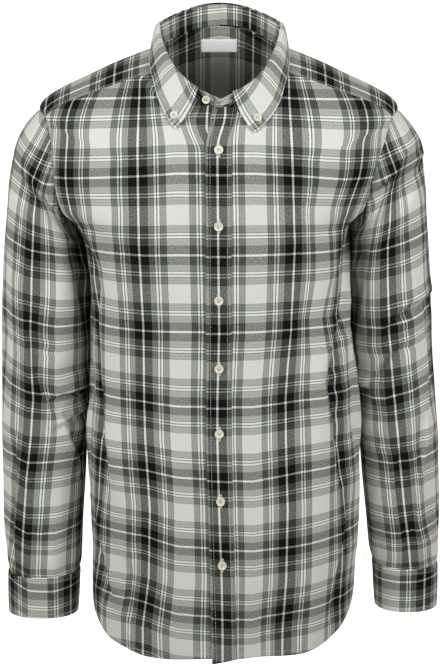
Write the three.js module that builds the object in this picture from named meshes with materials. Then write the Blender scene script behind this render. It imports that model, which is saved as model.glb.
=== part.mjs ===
// A men's flannel shirt, filled out as it is worn and hollow inside.
// Millimetres. +X is the wearer's left, -Y the front, +Z up.
// The origin is the middle of the neck, at the height of the shoulder line.
import * as THREE from 'three';

// Cloth and seams
const CLOTH = 1.4;
const BAND = 2.0;
const CUFF_CLOTH = 2.2;
const SEAM_GAP = 0.3;
const OVERLAP = 2.6;

// The front opening
const PLACKET_WIDTH = 29;
const UNDER_EDGE = 26;
const BUTTON_RADIUS = 5.2;
const BUTTON_THICK = 2.4;
const COLLAR_BUTTON_RADIUS = 4.6;

// The rings of the torso. `level` is the height at the centre front. `side` and `back` are the heights at the
// sides and the centre back, so that the upper rings climb over the shoulders to the neck seam.
const TORSO = [
  { level: -790, right: 152, left: 154, fore: 112, aft: 112, side: -790, back: -790, square: 2.6 },
  { level: -690, right: 156, left: 163, fore: 114, aft: 112, side: -690, back: -690, square: 2.7 },
  { level: -600, right: 155, left: 166, fore: 115, aft: 108, side: -600, back: -600, square: 2.8 },
  { level: -500, right: 155, left: 163, fore: 113, aft: 98, side: -500, back: -500, square: 2.8 },
  { level: -430, right: 151, left: 159, fore: 111, aft: 94, side: -430, back: -430, square: 2.8 },
  { level: -330, right: 152, left: 153, fore: 115, aft: 102, side: -330, back: -330, square: 2.9 },
  { level: -280, right: 156, left: 151, fore: 118, aft: 106, side: -280, back: -280, square: 3.0 },
  { level: -240, right: 168, left: 153, fore: 119, aft: 108, side: -240, back: -240, square: 3.0 },
  { level: -226, right: 199, left: 180, fore: 119.5, aft: 109, side: -212, back: -224, square: 2.6 },
  { level: -204, right: 212, left: 197, fore: 119, aft: 110, side: -168, back: -194, square: 2.4 },
  { level: -168, right: 211, left: 208, fore: 113, aft: 106, side: -104, back: -130, square: 2.4 },
  { level: -135, right: 142, left: 139, fore: 99, aft: 90, side: -60, back: -64, square: 2.3 },
  { level: -101, right: 66, left: 66, fore: 78, aft: 62, side: -29, back: -9, square: 2.1 },
];
const CHEST = -240;
const NECK = -101;

// The armhole seam, once round from the underarm, by the angle and ring that it crosses.
const ARMHOLE = [
  { name: 'underarm', angle: 90, level: -240 },
  { name: 'low front', angle: 62, level: -227 },
  { name: 'front', angle: 59, level: -203 },
  { name: 'front yoke seam', angle: 67, level: -167 },
  { name: 'shoulder tip', angle: 90, level: -169 },
  { name: 'back yoke seam', angle: 113, level: -176 },
  { name: 'back', angle: 122, level: -204 },
  { name: 'low back', angle: 118, level: -228 },
  { name: 'underarm again', angle: 90, level: -240 },
];
const FRONT_SEAM = 3;
const BACK_SEAM = 5;

// The front yoke seam, from the armhole to the neck.
const YOKE_FRONT = [
  { level: -167, angle: 67 },
  { level: -135, angle: 61 },
  { level: -101, angle: 54 },
];
const YOKE_BACK_CENTRE = -153;

// The shirt-tail hem, by the angle round the body. The left side hangs a little higher than the right, and the
// placket's free corner a little lower than the fronts.
const HEM = [
  { angle: 0, front: -740, rear: -768 },
  { angle: 30, front: -741, rear: -764 },
  { angle: 48, front: -730, rear: -750 },
  { angle: 66, front: -706, rear: -720 },
  { angle: 90, front: -676, rear: -676 },
];
const HEM_RISE_LEFT = 6;
const PLACKET_DROP = 6;

// The edge of the placket that lies on the right front.
const PLACKET_EDGE = [
  { level: -790, x: -8 },
  { level: -745, x: -9 },
  { level: -600, x: -12.5 },
  { level: -450, x: -15.5 },
  { level: -150, x: -16 },
  { level: -125, x: -12.5 },
  { level: -101, x: -8 },
];

// The largest folds of the body. Each runs between two points given by angle and height, `wide` is its
// half-width and `deep` is how far it sinks in. A negative depth stands proud. Angles over 90 are the back.
const BODY_FOLDS = [
  { name: 'right side hollow', from: -60, top: -290, to: -58, bottom: -560, wide: 17, deep: 6 },
  { name: 'right side ridge', from: -76, top: -330, to: -78, bottom: -600, wide: 15, deep: -4 },
  { name: 'right armpit drag', from: -76, top: -236, to: -52, bottom: -330, wide: 15, deep: 5 },
  { name: 'left armpit drag', from: 72, top: -215, to: 56, bottom: -400, wide: 17, deep: 8 },
  { name: 'left side hollow', from: 50, top: -430, to: 60, bottom: -590, wide: 18, deep: 6 },
  { name: 'left side ridge', from: 74, top: -330, to: 78, bottom: -620, wide: 16, deep: -5 },
  { name: 'right lower wave', from: -24, top: -560, to: -20, bottom: -770, wide: 20, deep: -4 },
  { name: 'right lower hollow', from: -42, top: -600, to: -40, bottom: -770, wide: 17, deep: 4 },
  { name: 'left lower wave', from: 34, top: -600, to: 38, bottom: -770, wide: 20, deep: -5 },
  { name: 'left lower hollow', from: 18, top: -640, to: 17, bottom: -770, wide: 14, deep: 4 },
  { name: 'back right hollow', from: -128, top: -230, to: -134, bottom: -620, wide: 20, deep: 7 },
  { name: 'back left hollow', from: 126, top: -240, to: 137, bottom: -560, wide: 19, deep: 7 },
  { name: 'back waist ridge', from: 172, top: -380, to: 176, bottom: -620, wide: 22, deep: -4 },
  { name: 'back right wave', from: -156, top: -600, to: -152, bottom: -790, wide: 20, deep: 5 },
  { name: 'back left wave', from: 158, top: -560, to: 155, bottom: -790, wide: 18, deep: 5 },
];
const BODY_MM_PER_DEGREE = 2.4;

// The sleeves, by the length from the shoulder tip: the outer and inner edge in the front view, the middle
// of the depth and the half-depth. x grows away from the body.
const SLEEVE_RIGHT = [
  { down: 0, outX: 211, outZ: -105, inX: 168, inZ: -240, midY: 0, deep: 66 },
  { down: 26, outX: 228, outZ: -123, inX: 169, inZ: -247, midY: 0, deep: 67 },
  { down: 54, outX: 241, outZ: -149, inX: 164, inZ: -258, midY: 0, deep: 68 },
  { down: 92, outX: 248, outZ: -187, inX: 158.5, inZ: -275, midY: 1, deep: 68 },
  { down: 140, outX: 253, outZ: -235, inX: 155, inZ: -298, midY: 2, deep: 67 },
  { down: 210, outX: 259, outZ: -305, inX: 153.8, inZ: -340, midY: 4, deep: 64 },
  { down: 300, outX: 262.5, outZ: -395, inX: 156, inZ: -410, midY: 7, deep: 59 },
  { down: 400, outX: 264, outZ: -495, inX: 161, inZ: -500, midY: 4, deep: 53 },
  { down: 500, outX: 263.5, outZ: -595, inX: 167, inZ: -597, midY: -3, deep: 47 },
  { down: 545, outX: 261, outZ: -640, inX: 170, inZ: -641, midY: -6, deep: 43 },
  { down: 570, outX: 258, outZ: -664, inX: 172, inZ: -663, midY: -8, deep: 38 },
  { down: 623, outX: 258, outZ: -713, inX: 175, inZ: -714, midY: -10, deep: 38 },
];
const SLEEVE_LEFT = [
  { down: 0, outX: 208, outZ: -105, inX: 153, inZ: -240, midY: 0, deep: 66 },
  { down: 26, outX: 224, outZ: -123, inX: 156.5, inZ: -247, midY: 0, deep: 67 },
  { down: 54, outX: 236, outZ: -149, inX: 154.5, inZ: -258, midY: 0, deep: 68 },
  { down: 92, outX: 242, outZ: -187, inX: 153, inZ: -275, midY: 1, deep: 68 },
  { down: 140, outX: 245, outZ: -235, inX: 153.2, inZ: -298, midY: 2, deep: 67 },
  { down: 210, outX: 251, outZ: -305, inX: 155.3, inZ: -340, midY: 4, deep: 64 },
  { down: 300, outX: 256, outZ: -395, inX: 159.8, inZ: -410, midY: 7, deep: 59 },
  { down: 400, outX: 264, outZ: -495, inX: 169, inZ: -500, midY: 4, deep: 53 },
  { down: 500, outX: 267, outZ: -590, inX: 178, inZ: -591, midY: -3, deep: 47 },
  { down: 545, outX: 267, outZ: -631, inX: 183, inZ: -631, midY: -6, deep: 43 },
  { down: 570, outX: 265, outZ: -653, inX: 187, inZ: -652, midY: -8, deep: 38 },
  { down: 623, outX: 265, outZ: -705, inX: 191, inZ: -706, midY: -10, deep: 38 },
];
const CUFF_SEAM = 570;
const CUFF_END = 623;

// The largest folds of a sleeve, by the angle round it (0 is the outer side, 90 the front, 180 the inner side)
// and the length down it. The same table serves both sleeves.
const SLEEVE_FOLDS = [
  { name: 'cap crease', from: 12, top: 62, to: 140, bottom: 46, wide: 13, deep: 8 },
  { name: 'roll below the cap', from: 40, top: 100, to: 125, bottom: 88, wide: 16, deep: -4 },
  { name: 'front drag', from: 122, top: 110, to: 70, bottom: 250, wide: 16, deep: 5 },
  { name: 'outer length fold', from: 34, top: 170, to: 26, bottom: 360, wide: 13, deep: 5 },
  { name: 'elbow crease', from: 150, top: 296, to: 82, bottom: 330, wide: 13, deep: 5 },
  { name: 'second elbow crease', from: 168, top: 350, to: 100, bottom: 372, wide: 12, deep: 4 },
  { name: 'forearm fold', from: 60, top: 380, to: 48, bottom: 520, wide: 12, deep: 4 },
  { name: 'back elbow fold', from: 290, top: 250, to: 235, bottom: 330, wide: 16, deep: 5 },
  { name: 'back length fold', from: 305, top: 380, to: 300, bottom: 540, wide: 13, deep: 5 },
];
const CUFF_PLEATS = { count: 9, deep: 1.6, reach: 60 };

// The collar. The fold ring is where the leaf turns down over the stand.
// It dips to the front by a lower power than it rises to the back.
const FOLD_RING = { side: 70.5, fore: 80, aft: 65, front: -86, flank: -8, back: 16, dip: 1.2, rise: 2 };
const STAND_ENDS = { under: 7, over: -365.5 };
const TAB = { reach: 24, height: 0.4 };
const LEAF_ENDS = { right: -20, left: -349 };
const LEAF_CLOTH = 1.8;
const LEAF_REST = 2.6;
const LEAF_ROLL = 5;
// The leaf's front edges bow towards the opening near their points.
const LEAF_BOW = { out: 9, reach: 14 };

// The leaf's outer edge on the shirt, by the angle of the fold above it.
const LEAF_EDGE_RIGHT = [
  { fold: 20, angle: 20.5, level: -133.5 },
  { fold: 34, angle: 35, level: -122 },
  { fold: 54, angle: 52, level: -114 },
  { fold: 90, angle: 88, level: -107 },
  { fold: 135, angle: 134, level: -111 },
  { fold: 180, angle: 180, level: -119 },
];
const LEAF_EDGE_LEFT = [
  { fold: 11, angle: 16, level: -134.5 },
  { fold: 30, angle: 32, level: -124 },
  { fold: 54, angle: 52, level: -114 },
  { fold: 90, angle: 88, level: -107 },
  { fold: 135, angle: 134, level: -111 },
  { fold: 180, angle: 180, level: -119 },
];

const CUFF_PROUD = 1;
const CUFF_START = 290;
const CUFF_TURN = 380;
const CUFF_LAP = 3;

const FRONT_BUTTONS = [-148, -230, -314, -393, -469, -548, -624];
const LABEL = { left: -23, right: 21, top: -24, bottom: -39, thick: 0.7 };

const FLANNEL = { colour: 0x8f938c, roughness: 0.95 };
const TRIM = { colour: 0x7c8079, roughness: 0.95 };
const BUTTON = { colour: 0xe9e4d3, roughness: 0.35 };
const WOVEN = { colour: 0xeef0f2, roughness: 0.8 };

const shirt = new THREE.Group();
const radians = THREE.MathUtils.degToRad;

// A smooth curve through one column of a table, with no bump that the table doesn't have.
function along(table, key, column, at) {
  const up = table[table.length - 1][key] > table[0][key];
  const rows = up ? table : [...table].reverse();
  const last = rows.length - 2;
  let i = 0;
  while (i < last && at > rows[i + 1][key]) i += 1;
  const slope = (k) => (rows[k + 1][column] - rows[k][column]) / (rows[k + 1][key] - rows[k][key]);
  const tangent = (k) => {
    if (k === 0) return slope(0);
    if (k === rows.length - 1) return slope(k - 1);
    const before = slope(k - 1);
    const after = slope(k);
    return before * after <= 0 ? 0 : (2 * before * after) / (before + after);
  };
  const span = rows[i + 1][key] - rows[i][key];
  const t = THREE.MathUtils.clamp((at - rows[i][key]) / span, 0, 1);
  const a = (1 + 2 * t) * (1 - t) * (1 - t);
  const b = t * (1 - t) * (1 - t) * span;
  const c = t * t * (3 - 2 * t);
  const d = t * t * (t - 1) * span;
  return a * rows[i][column] + b * tangent(i) + c * rows[i + 1][column] + d * tangent(i + 1);
}

// How deep the folds are at one place: each is a soft trough round a straight line.
function sinking(folds, across, down) {
  let depth = 0;
  for (const fold of folds) {
    const runX = (fold.to - fold.from) * fold.scale;
    const runY = fold.bottom - fold.top;
    const x = (across - fold.from) * fold.scale;
    const y = down - fold.top;
    const t = THREE.MathUtils.clamp((x * runX + y * runY) / (runX * runX + runY * runY), 0, 1);
    const away = Math.hypot(x - t * runX, y - t * runY) / fold.wide;
    const ends = 0.35 + 0.65 * Math.sin(Math.PI * THREE.MathUtils.clamp(t, 0.02, 0.98));
    depth += fold.deep * ends * Math.exp(-away * away);
  }
  return depth;
}

const bodyFolds = BODY_FOLDS.map((fold) => ({ ...fold, scale: BODY_MM_PER_DEGREE }));
const sleeveFolds = SLEEVE_FOLDS.map((fold) => ({ ...fold, scale: 1.0 }));

// The torso's plain form. Angle 0 is the centre front, 90 the wearer's left side, 180 the centre back.
function ringPoint(angle, level) {
  const s = Math.sin(radians(angle));
  const c = Math.cos(radians(angle));
  const square = along(TORSO, 'level', 'square', level);
  const r = (Math.abs(s) ** square + Math.abs(c) ** square) ** (-1 / square);
  const half = along(TORSO, 'level', s < 0 ? 'right' : 'left', level);
  const depth = along(TORSO, 'level', c > 0 ? 'fore' : 'aft', level);
  const side = along(TORSO, 'level', 'side', level);
  const end = c > 0 ? level : along(TORSO, 'level', 'back', level);
  return new THREE.Vector3(half * r * s, -depth * r * c, side + (end - side) * c * c);
}

function normalOf(surface, u, v, stepU, stepV) {
  const alongU = surface(u + stepU, v).sub(surface(u - stepU, v));
  const alongV = surface(u, v + stepV).sub(surface(u, v - stepV));
  return alongU.cross(alongV).normalize();
}

const ringNormal = (angle, level) => normalOf(ringPoint, angle, level, 0.4, 0.8);
const wrapped = (angle) => (angle > 180 ? angle - 360 : angle);

// The torso with its folds. They fade out towards the neck seam.
function torso(angle, level) {
  const point = ringPoint(angle, level);
  const calm = THREE.MathUtils.smoothstep(-level, 150, 230);
  const depth = sinking(bodyFolds, wrapped(angle), level) * calm;
  return point.addScaledVector(ringNormal(angle, level), -depth);
}
const torsoNormal = (angle, level) => normalOf(torso, angle, level, 0.4, 0.8);

// The left front rises near the opening, where it lies over the right front.
function leftFront(angle, level) {
  const x = ringPoint(angle, level).x;
  const rise = OVERLAP * (1 - THREE.MathUtils.smoothstep(x, 14, 70));
  return torso(angle, level).addScaledVector(torsoNormal(angle, level), rise);
}
const leftFrontNormal = (angle, level) => normalOf(leftFront, angle, level, 0.4, 0.8);

// The angle at which a ring passes over x, on the front or on the back.
function angleAt(x, level, onBack = false) {
  let low = onBack ? 270 : -89;
  let high = onBack ? 90 : 89;
  for (let i = 0; i < 26; i += 1) {
    const middle = (low + high) / 2;
    if (ringPoint(middle, level).x < x) low = middle;
    else high = middle;
  }
  return (low + high) / 2;
}

// The angle and ring at a given x and height on the front or back.
function spotAt(x, z, onBack = false) {
  let low = -780;
  let high = NECK;
  for (let i = 0; i < 26; i += 1) {
    const middle = (low + high) / 2;
    if (ringPoint(angleAt(x, middle, onBack), middle).z < z) low = middle;
    else high = middle;
  }
  const level = (low + high) / 2;
  return { angle: angleAt(x, level, onBack), level };
}

function steps(from, to, count) {
  return Array.from({ length: count + 1 }, (_, i) => from + ((to - from) * i) / count);
}

function addMesh(name, positions, triangles, finish) {
  const geometry = new THREE.BufferGeometry();
  geometry.setAttribute('position', new THREE.Float32BufferAttribute(positions, 3));
  geometry.setIndex(triangles);
  geometry.computeVertexNormals();
  const material = new THREE.MeshStandardMaterial({ color: finish.colour, roughness: finish.roughness });
  material.side = THREE.DoubleSide;
  const mesh = new THREE.Mesh(geometry, material);
  mesh.name = name;
  shirt.add(mesh);
}

function volume(positions, triangles) {
  const corner = (k) => new THREE.Vector3().fromArray(positions, 3 * triangles[k]);
  let total = 0;
  for (let k = 0; k < triangles.length; k += 3) {
    total += corner(k).dot(corner(k + 1).cross(corner(k + 2))) / 6;
  }
  return total;
}

// A wall of cloth from a grid of cells, each with its outer point and outward normal. Free edges draw back
// by half a seam gap. `ring` closes the rows into a tube.
function addWall(name, cells, thick, finish, ring = false) {
  const rows = cells.length;
  const columns = cells[0].length;
  const trim = SEAM_GAP / 2;
  const outer = cells.map((row) => row.map((cell) => cell.point.clone()));
  const place = (i, j) => {
    const row = cells[THREE.MathUtils.clamp(i, 0, rows - 1)];
    const column = ring ? (j + columns) % columns : THREE.MathUtils.clamp(j, 0, columns - 1);
    return row[column].point;
  };
  const drawBack = (i, j, stepI, stepJ) => {
    const inward = place(i + stepI, j + stepJ).clone().sub(place(i, j));
    const edge = place(i + Math.abs(stepJ), j + Math.abs(stepI)).clone()
      .sub(place(i - Math.abs(stepJ), j - Math.abs(stepI))).normalize();
    inward.addScaledVector(edge, -inward.dot(edge)).normalize();
    outer[i][j].addScaledVector(inward, trim);
  };
  for (let j = 0; j < columns; j += 1) {
    drawBack(0, j, 1, 0);
    drawBack(rows - 1, j, -1, 0);
  }
  if (!ring) {
    for (let i = 0; i < rows; i += 1) {
      drawBack(i, 0, 0, 1);
      drawBack(i, columns - 1, 0, -1);
    }
  }
  const positions = [];
  for (const row of outer) row.forEach((p) => positions.push(p.x, p.y, p.z));
  outer.forEach((row, i) => row.forEach((p, j) => {
    const cell = cells[i][j];
    const q = p.clone().addScaledVector(cell.normal, -(cell.thick ?? thick));
    positions.push(q.x, q.y, q.z);
  }));
  const triangles = [];
  const quad = (a, b, c, d) => triangles.push(a, b, c, a, c, d);
  const at = (i, j) => i * columns + (j % columns);
  const under = (i, j) => rows * columns + at(i, j);
  const across = ring ? columns : columns - 1;
  for (let i = 0; i < rows - 1; i += 1) {
    for (let j = 0; j < across; j += 1) {
      quad(at(i, j), at(i, j + 1), at(i + 1, j + 1), at(i + 1, j));
      quad(under(i, j), under(i + 1, j), under(i + 1, j + 1), under(i, j + 1));
    }
  }
  for (let j = 0; j < across; j += 1) {
    quad(at(0, j), under(0, j), under(0, j + 1), at(0, j + 1));
    quad(at(rows - 1, j), at(rows - 1, j + 1), under(rows - 1, j + 1), under(rows - 1, j));
  }
  if (!ring) {
    for (let i = 0; i < rows - 1; i += 1) {
      quad(at(i, 0), at(i + 1, 0), under(i + 1, 0), under(i, 0));
      quad(at(i, columns - 1), under(i, columns - 1), under(i + 1, columns - 1), at(i + 1, columns - 1));
    }
  }
  if (volume(positions, triangles) < 0) {
    for (let k = 0; k < triangles.length; k += 3) {
      [triangles[k + 1], triangles[k + 2]] = [triangles[k + 2], triangles[k + 1]];
    }
  }
  addMesh(name, positions, triangles, finish);
}

const armhole = (column, at) => {
  const rows = ARMHOLE.map((row, i) => ({ ...row, i }));
  return along(rows, 'i', column, at);
};

// The places where the armhole seam is sampled. Body, yoke and sleeve share them.
const ARM_FRONT = steps(0, FRONT_SEAM, 8);
const ARM_TOP = steps(FRONT_SEAM, BACK_SEAM, 6);
const ARM_BACK = steps(BACK_SEAM, ARMHOLE.length - 1, 8);
const YOKE_ROWS = steps(-167, NECK, 5);
const yokeFrontAngle = (level) => along(YOKE_FRONT, 'level', 'angle', level);
const hemAt = (angle) => {
  const turn = Math.abs(wrapped(angle));
  const plain = turn <= 90 ? along(HEM, 'angle', 'front', turn) : along(HEM, 'angle', 'rear', 180 - turn);
  return plain + HEM_RISE_LEFT * Math.max(0, Math.sin(radians(angle)));
};
const SIDE_ROWS = 12;
const ACROSS = 10;

// Fronts: rows from the hem to the neckline, columns from the opening to the side seam, armhole and yoke.
const centreRows = [
  ...steps(hemAt(0), CHEST, SIDE_ROWS),
  ...steps(CHEST, YOKE_ROWS[0], ARM_FRONT.length - 1).slice(1),
  ...YOKE_ROWS.slice(1),
];
const frontEdge = [
  ...centreRows.slice(0, SIDE_ROWS + 1).map(() => ({ angle: 90, level: CHEST })),
  ...ARM_FRONT.slice(1).map((at) => ({ angle: armhole('angle', at), level: armhole('level', at) })),
  ...YOKE_ROWS.slice(1).map((level) => ({ angle: yokeFrontAngle(level), level })),
];
const placketAngle = (across, level) => angleAt(along(PLACKET_EDGE, 'level', 'x', level) + across, level);

// `near` are the columns beside the opening, by their distance from the placket's free edge.
function frontGrid(side, near, surface, normal) {
  return centreRows.map((middle, i) => {
    const spots = near.map((across) => ({ angle: placketAngle(across, middle), level: middle }));
    const start = spots[spots.length - 1].angle;
    for (const share of steps(0, 1, ACROSS).slice(1)) {
      const angle = THREE.MathUtils.lerp(start, side * frontEdge[i].angle, share);
      const low = i <= SIDE_ROWS;
      const ruled = THREE.MathUtils.lerp(middle, frontEdge[i].level, share);
      const level = low ? THREE.MathUtils.lerp(hemAt(angle), CHEST, i / SIDE_ROWS) : ruled;
      spots.push({ angle, level });
    }
    return spots.map(({ angle, level }) => ({ point: surface(angle, level), normal: normal(angle, level) }));
  });
}
const PLACKET_COLUMNS = steps(0, PLACKET_WIDTH, 3);
const UNDER_COLUMNS = [UNDER_EDGE, ...PLACKET_COLUMNS.slice(0, 3).reverse()];
addWall('front_right', frontGrid(-1, UNDER_COLUMNS, torso, torsoNormal), CLOTH, FLANNEL);
addWall('front_left', frontGrid(1, [PLACKET_WIDTH], leftFront, leftFrontNormal), CLOTH, FLANNEL);

// The placket lies on the right front and meets the left front at its stitched edge. Its end hangs a little low.
const placketCells = centreRows.map((ruled, row) => PLACKET_COLUMNS.map((across) => {
  const level = row === 0 ? ruled - PLACKET_DROP * (1 - across / PLACKET_WIDTH) : ruled;
  const angle = placketAngle(across, level);
  const normal = torsoNormal(angle, level);
  return { point: torso(angle, level).addScaledVector(normal, OVERLAP), normal };
}));
addWall('placket', placketCells, OVERLAP - SEAM_GAP, TRIM);

// Back: rows from the hem to the yoke seam, columns from one side seam to the other.
const backSeamLevel = (turn) => {
  const share = (turn - armhole('angle', BACK_SEAM)) / (180 - armhole('angle', BACK_SEAM));
  const eased = Math.sin((Math.PI / 2) * Math.min(1, share));
  return THREE.MathUtils.lerp(armhole('level', BACK_SEAM), YOKE_BACK_CENTRE, eased);
};
const ARM_BACK_UP = [...ARM_BACK].reverse();
const BACK_ACROSS = 10;
const backSeamAngles = steps(0, 1, BACK_ACROSS)
  .map((share) => THREE.MathUtils.lerp(180, armhole('angle', BACK_SEAM), share));
const backRows = [];
for (let i = 0; i <= SIDE_ROWS + ARM_BACK.length - 1; i += 1) {
  const low = i <= SIDE_ROWS;
  const rise = (i - SIDE_ROWS) / (ARM_BACK.length - 1);
  const arm = low ? null : ARM_BACK_UP[i - SIDE_ROWS];
  const edgeAngle = low ? 90 : armhole('angle', arm);
  const edgeLevel = low ? CHEST : armhole('level', arm);
  const centreLevel = low ? CHEST : THREE.MathUtils.lerp(CHEST, YOKE_BACK_CENTRE, rise);
  const half = steps(0, 1, BACK_ACROSS).map((share) => {
    const turn = THREE.MathUtils.lerp(180, edgeAngle, share);
    if (low) return { turn, level: THREE.MathUtils.lerp(hemAt(turn), CHEST, i / SIDE_ROWS) };
    const eased = Math.cos((Math.PI / 2) * share);
    return { turn, level: THREE.MathUtils.lerp(edgeLevel, centreLevel, eased) };
  });
  const spots = [
    ...[...half].reverse().map((spot) => ({ angle: spot.turn, level: spot.level })),
    ...half.slice(1).map((spot) => ({ angle: 360 - spot.turn, level: spot.level })),
  ];
  backRows.push(spots.map((spot) => ({
    point: torso(spot.angle, spot.level),
    normal: torsoNormal(spot.angle, spot.level),
  })));
}
addWall('back', backRows, CLOTH, FLANNEL);

// Yoke: a horseshoe round the neck. Its rows run from the neck seam out to the front seams, armholes and back.
const yokeHalf = [
  ...ARM_TOP.map((at) => ({ angle: armhole('angle', at), level: armhole('level', at) })),
  ...[...backSeamAngles].reverse().slice(1).map((turn) => ({ angle: turn, level: backSeamLevel(turn) })),
];
const yokeOuter = [
  ...yokeHalf,
  ...[...yokeHalf].reverse().slice(1).map((spot) => ({ angle: 360 - spot.angle, level: spot.level })),
];
const neckFrom = yokeFrontAngle(NECK);
const yokeInner = yokeOuter.map((spot, i) => {
  const share = i / (yokeOuter.length - 1);
  return { angle: THREE.MathUtils.lerp(neckFrom, 360 - neckFrom, share), level: NECK };
});
const yokeCells = YOKE_ROWS.map((level, row) => yokeOuter.map((spot, i) => {
  const share = row / (YOKE_ROWS.length - 1);
  const end = i === 0 || i === yokeOuter.length - 1;
  const seam = yokeFrontAngle(level);
  let angle = THREE.MathUtils.lerp(spot.angle, yokeInner[i].angle, share);
  if (end) angle = i === 0 ? seam : 360 - seam;
  const ring = THREE.MathUtils.lerp(spot.level, NECK, share);
  return { point: torso(angle, ring), normal: torsoNormal(angle, ring) };
}));
addWall('yoke', yokeCells, CLOTH, FLANNEL);

// Sleeves. The first ring is the armhole seam itself, and the cap eases from it into the sleeve's own rings.
function sleeveRing(table, side, around, down) {
  const outX = along(table, 'down', 'outX', down);
  const outZ = along(table, 'down', 'outZ', down);
  const inX = along(table, 'down', 'inX', down);
  const inZ = along(table, 'down', 'inZ', down);
  const deep = along(table, 'down', 'deep', down);
  const midY = along(table, 'down', 'midY', down);
  const c = Math.cos(radians(around));
  const s = Math.sin(radians(around));
  const r = (Math.abs(s) ** 2.2 + Math.abs(c) ** 2.2) ** (-1 / 2.2);
  const x = (outX + inX) / 2 + ((outX - inX) / 2) * r * c;
  const z = (outZ + inZ) / 2 + ((outZ - inZ) / 2) * r * c;
  return new THREE.Vector3(side * x, midY - deep * r * s, z);
}

// The angle round the sleeve at which an armhole sample sits: 0 at the shoulder tip, 180 at the underarm.
function aroundOf(at) {
  const half = (ARMHOLE.length - 1) / 2;
  return at < half ? 180 * (1 - at / half) : 360 - 180 * (at / half - 1);
}

function sleevePoint(table, side, at, down) {
  const around = aroundOf(at);
  const plain = sleeveRing(table, side, around, down);
  const hold = 1 - THREE.MathUtils.smoothstep(down, 0, 110);
  const seam = torso(side > 0 ? armhole('angle', at) : 360 - armhole('angle', at), armhole('level', at));
  const first = sleeveRing(table, side, around, 0);
  return plain.addScaledVector(seam.sub(first), hold);
}

function sleeveFolded(table, side, at, down) {
  const point = sleevePoint(table, side, at, down);
  const middle = sleeveRing(table, side, 0, down).add(sleeveRing(table, side, 180, down)).multiplyScalar(0.5);
  const outward = point.clone().sub(middle).normalize();
  const away = THREE.MathUtils.smoothstep(down, 0, 40);
  const gather = THREE.MathUtils.smoothstep(down, CUFF_SEAM - CUFF_PLEATS.reach, CUFF_SEAM);
  const pleats = CUFF_PLEATS.deep * gather * Math.sin(radians(aroundOf(at) * CUFF_PLEATS.count));
  return point.addScaledVector(outward, -sinking(sleeveFolds, aroundOf(at), down) * away - pleats);
}

const SLEEVE_ROWS = [
  0, 14, 30, 48, 66, 88, 112, 140, 172, 206, 242, 280, 316, 350, 386, 424, 464, 504, 540, CUFF_SEAM,
];

function addSleeve(name, table, side) {
  const closed = [...ARM_FRONT.slice(1), ...ARM_TOP.slice(1), ...ARM_BACK.slice(1)];
  const cells = SLEEVE_ROWS.map((down) => closed.map((at) => {
    const surface = (u, v) => sleeveFolded(table, side, u, v);
    const point = surface(at, down);
    let normal = normalOf(surface, at, Math.max(down, 2), 0.03, 1.5).multiplyScalar(-side);
    if (down === 0) {
      const angle = side > 0 ? armhole('angle', at) : 360 - armhole('angle', at);
      const underarm = (1 - Math.cos(radians(aroundOf(at)))) / 2;
      normal = torsoNormal(angle, armhole('level', at)).lerp(normal, underarm ** 2).normalize();
    }
    return { point, normal };
  }));
  addWall(name, cells, CLOTH, FLANNEL, true);
}
addSleeve('sleeve_right', SLEEVE_RIGHT, -1);
addSleeve('sleeve_left', SLEEVE_LEFT, 1);

// Cuffs: bands whose last stretch lies over their first one, at the back of the wrist.
function cuffPoint(table, side, around, down) {
  const point = sleeveRing(table, side, around, down);
  const middle = sleeveRing(table, side, 0, down).add(sleeveRing(table, side, 180, down)).multiplyScalar(0.5);
  const lap = CUFF_LAP * THREE.MathUtils.smoothstep(around, CUFF_START + 300, CUFF_START + 350);
  return point.add(point.clone().sub(middle).normalize().multiplyScalar(CUFF_PROUD + lap));
}

function addCuff(name, table, side) {
  const surface = (around, down) => cuffPoint(table, side, around, down);
  const cells = steps(CUFF_SEAM, CUFF_END, 3).map((down) => (
    steps(CUFF_START, CUFF_START + CUFF_TURN, 26).map((around) => ({
      point: surface(around, down),
      normal: normalOf(surface, around, down, 1, 1).multiplyScalar(side),
    }))));
  addWall(name, cells, CUFF_CLOTH, TRIM);
}
addCuff('cuff_right', SLEEVE_RIGHT, -1);
addCuff('cuff_left', SLEEVE_LEFT, 1);

// The strip above each cuff opening, on the sleeve's own points.
function addSleevePlacket(name, table, side) {
  const surface = (at, down) => sleeveFolded(table, side, at, down);
  const cells = SLEEVE_ROWS.slice(-4).map((down) => ARM_BACK.slice(0, 3).map((at) => {
    const normal = normalOf(surface, at, down, 0.03, 1.5).multiplyScalar(-side);
    return { point: surface(at, down).addScaledVector(normal, SEAM_GAP + CLOTH), normal };
  }));
  addWall(name, cells, CLOTH, TRIM);
}
addSleevePlacket('sleeve_placket_right', SLEEVE_RIGHT, -1);
addSleevePlacket('sleeve_placket_left', SLEEVE_LEFT, 1);

// The collar's fold ring, above the neck seam. Angles run from the under end, round the back, to the over end.
function foldPoint(angle) {
  const s = Math.sin(radians(angle));
  const c = Math.cos(radians(angle));
  const depth = c > 0 ? FOLD_RING.fore : FOLD_RING.aft;
  const end = c > 0 ? FOLD_RING.front : FOLD_RING.back;
  const turn = Math.abs(c) ** (c > 0 ? FOLD_RING.dip : FOLD_RING.rise);
  return new THREE.Vector3(FOLD_RING.side * s, -depth * c, FOLD_RING.flank + (end - FOLD_RING.flank) * turn);
}
const onLeft = (angle) => angle < -180;
const lapRise = (angle) => {
  if (!onLeft(angle)) return 0;
  return OVERLAP * (1 - THREE.MathUtils.smoothstep(ringPoint(angle + 360, NECK).x, 14, 70));
};
const radial = (point) => new THREE.Vector3(point.x, point.y, 0).normalize();

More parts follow.
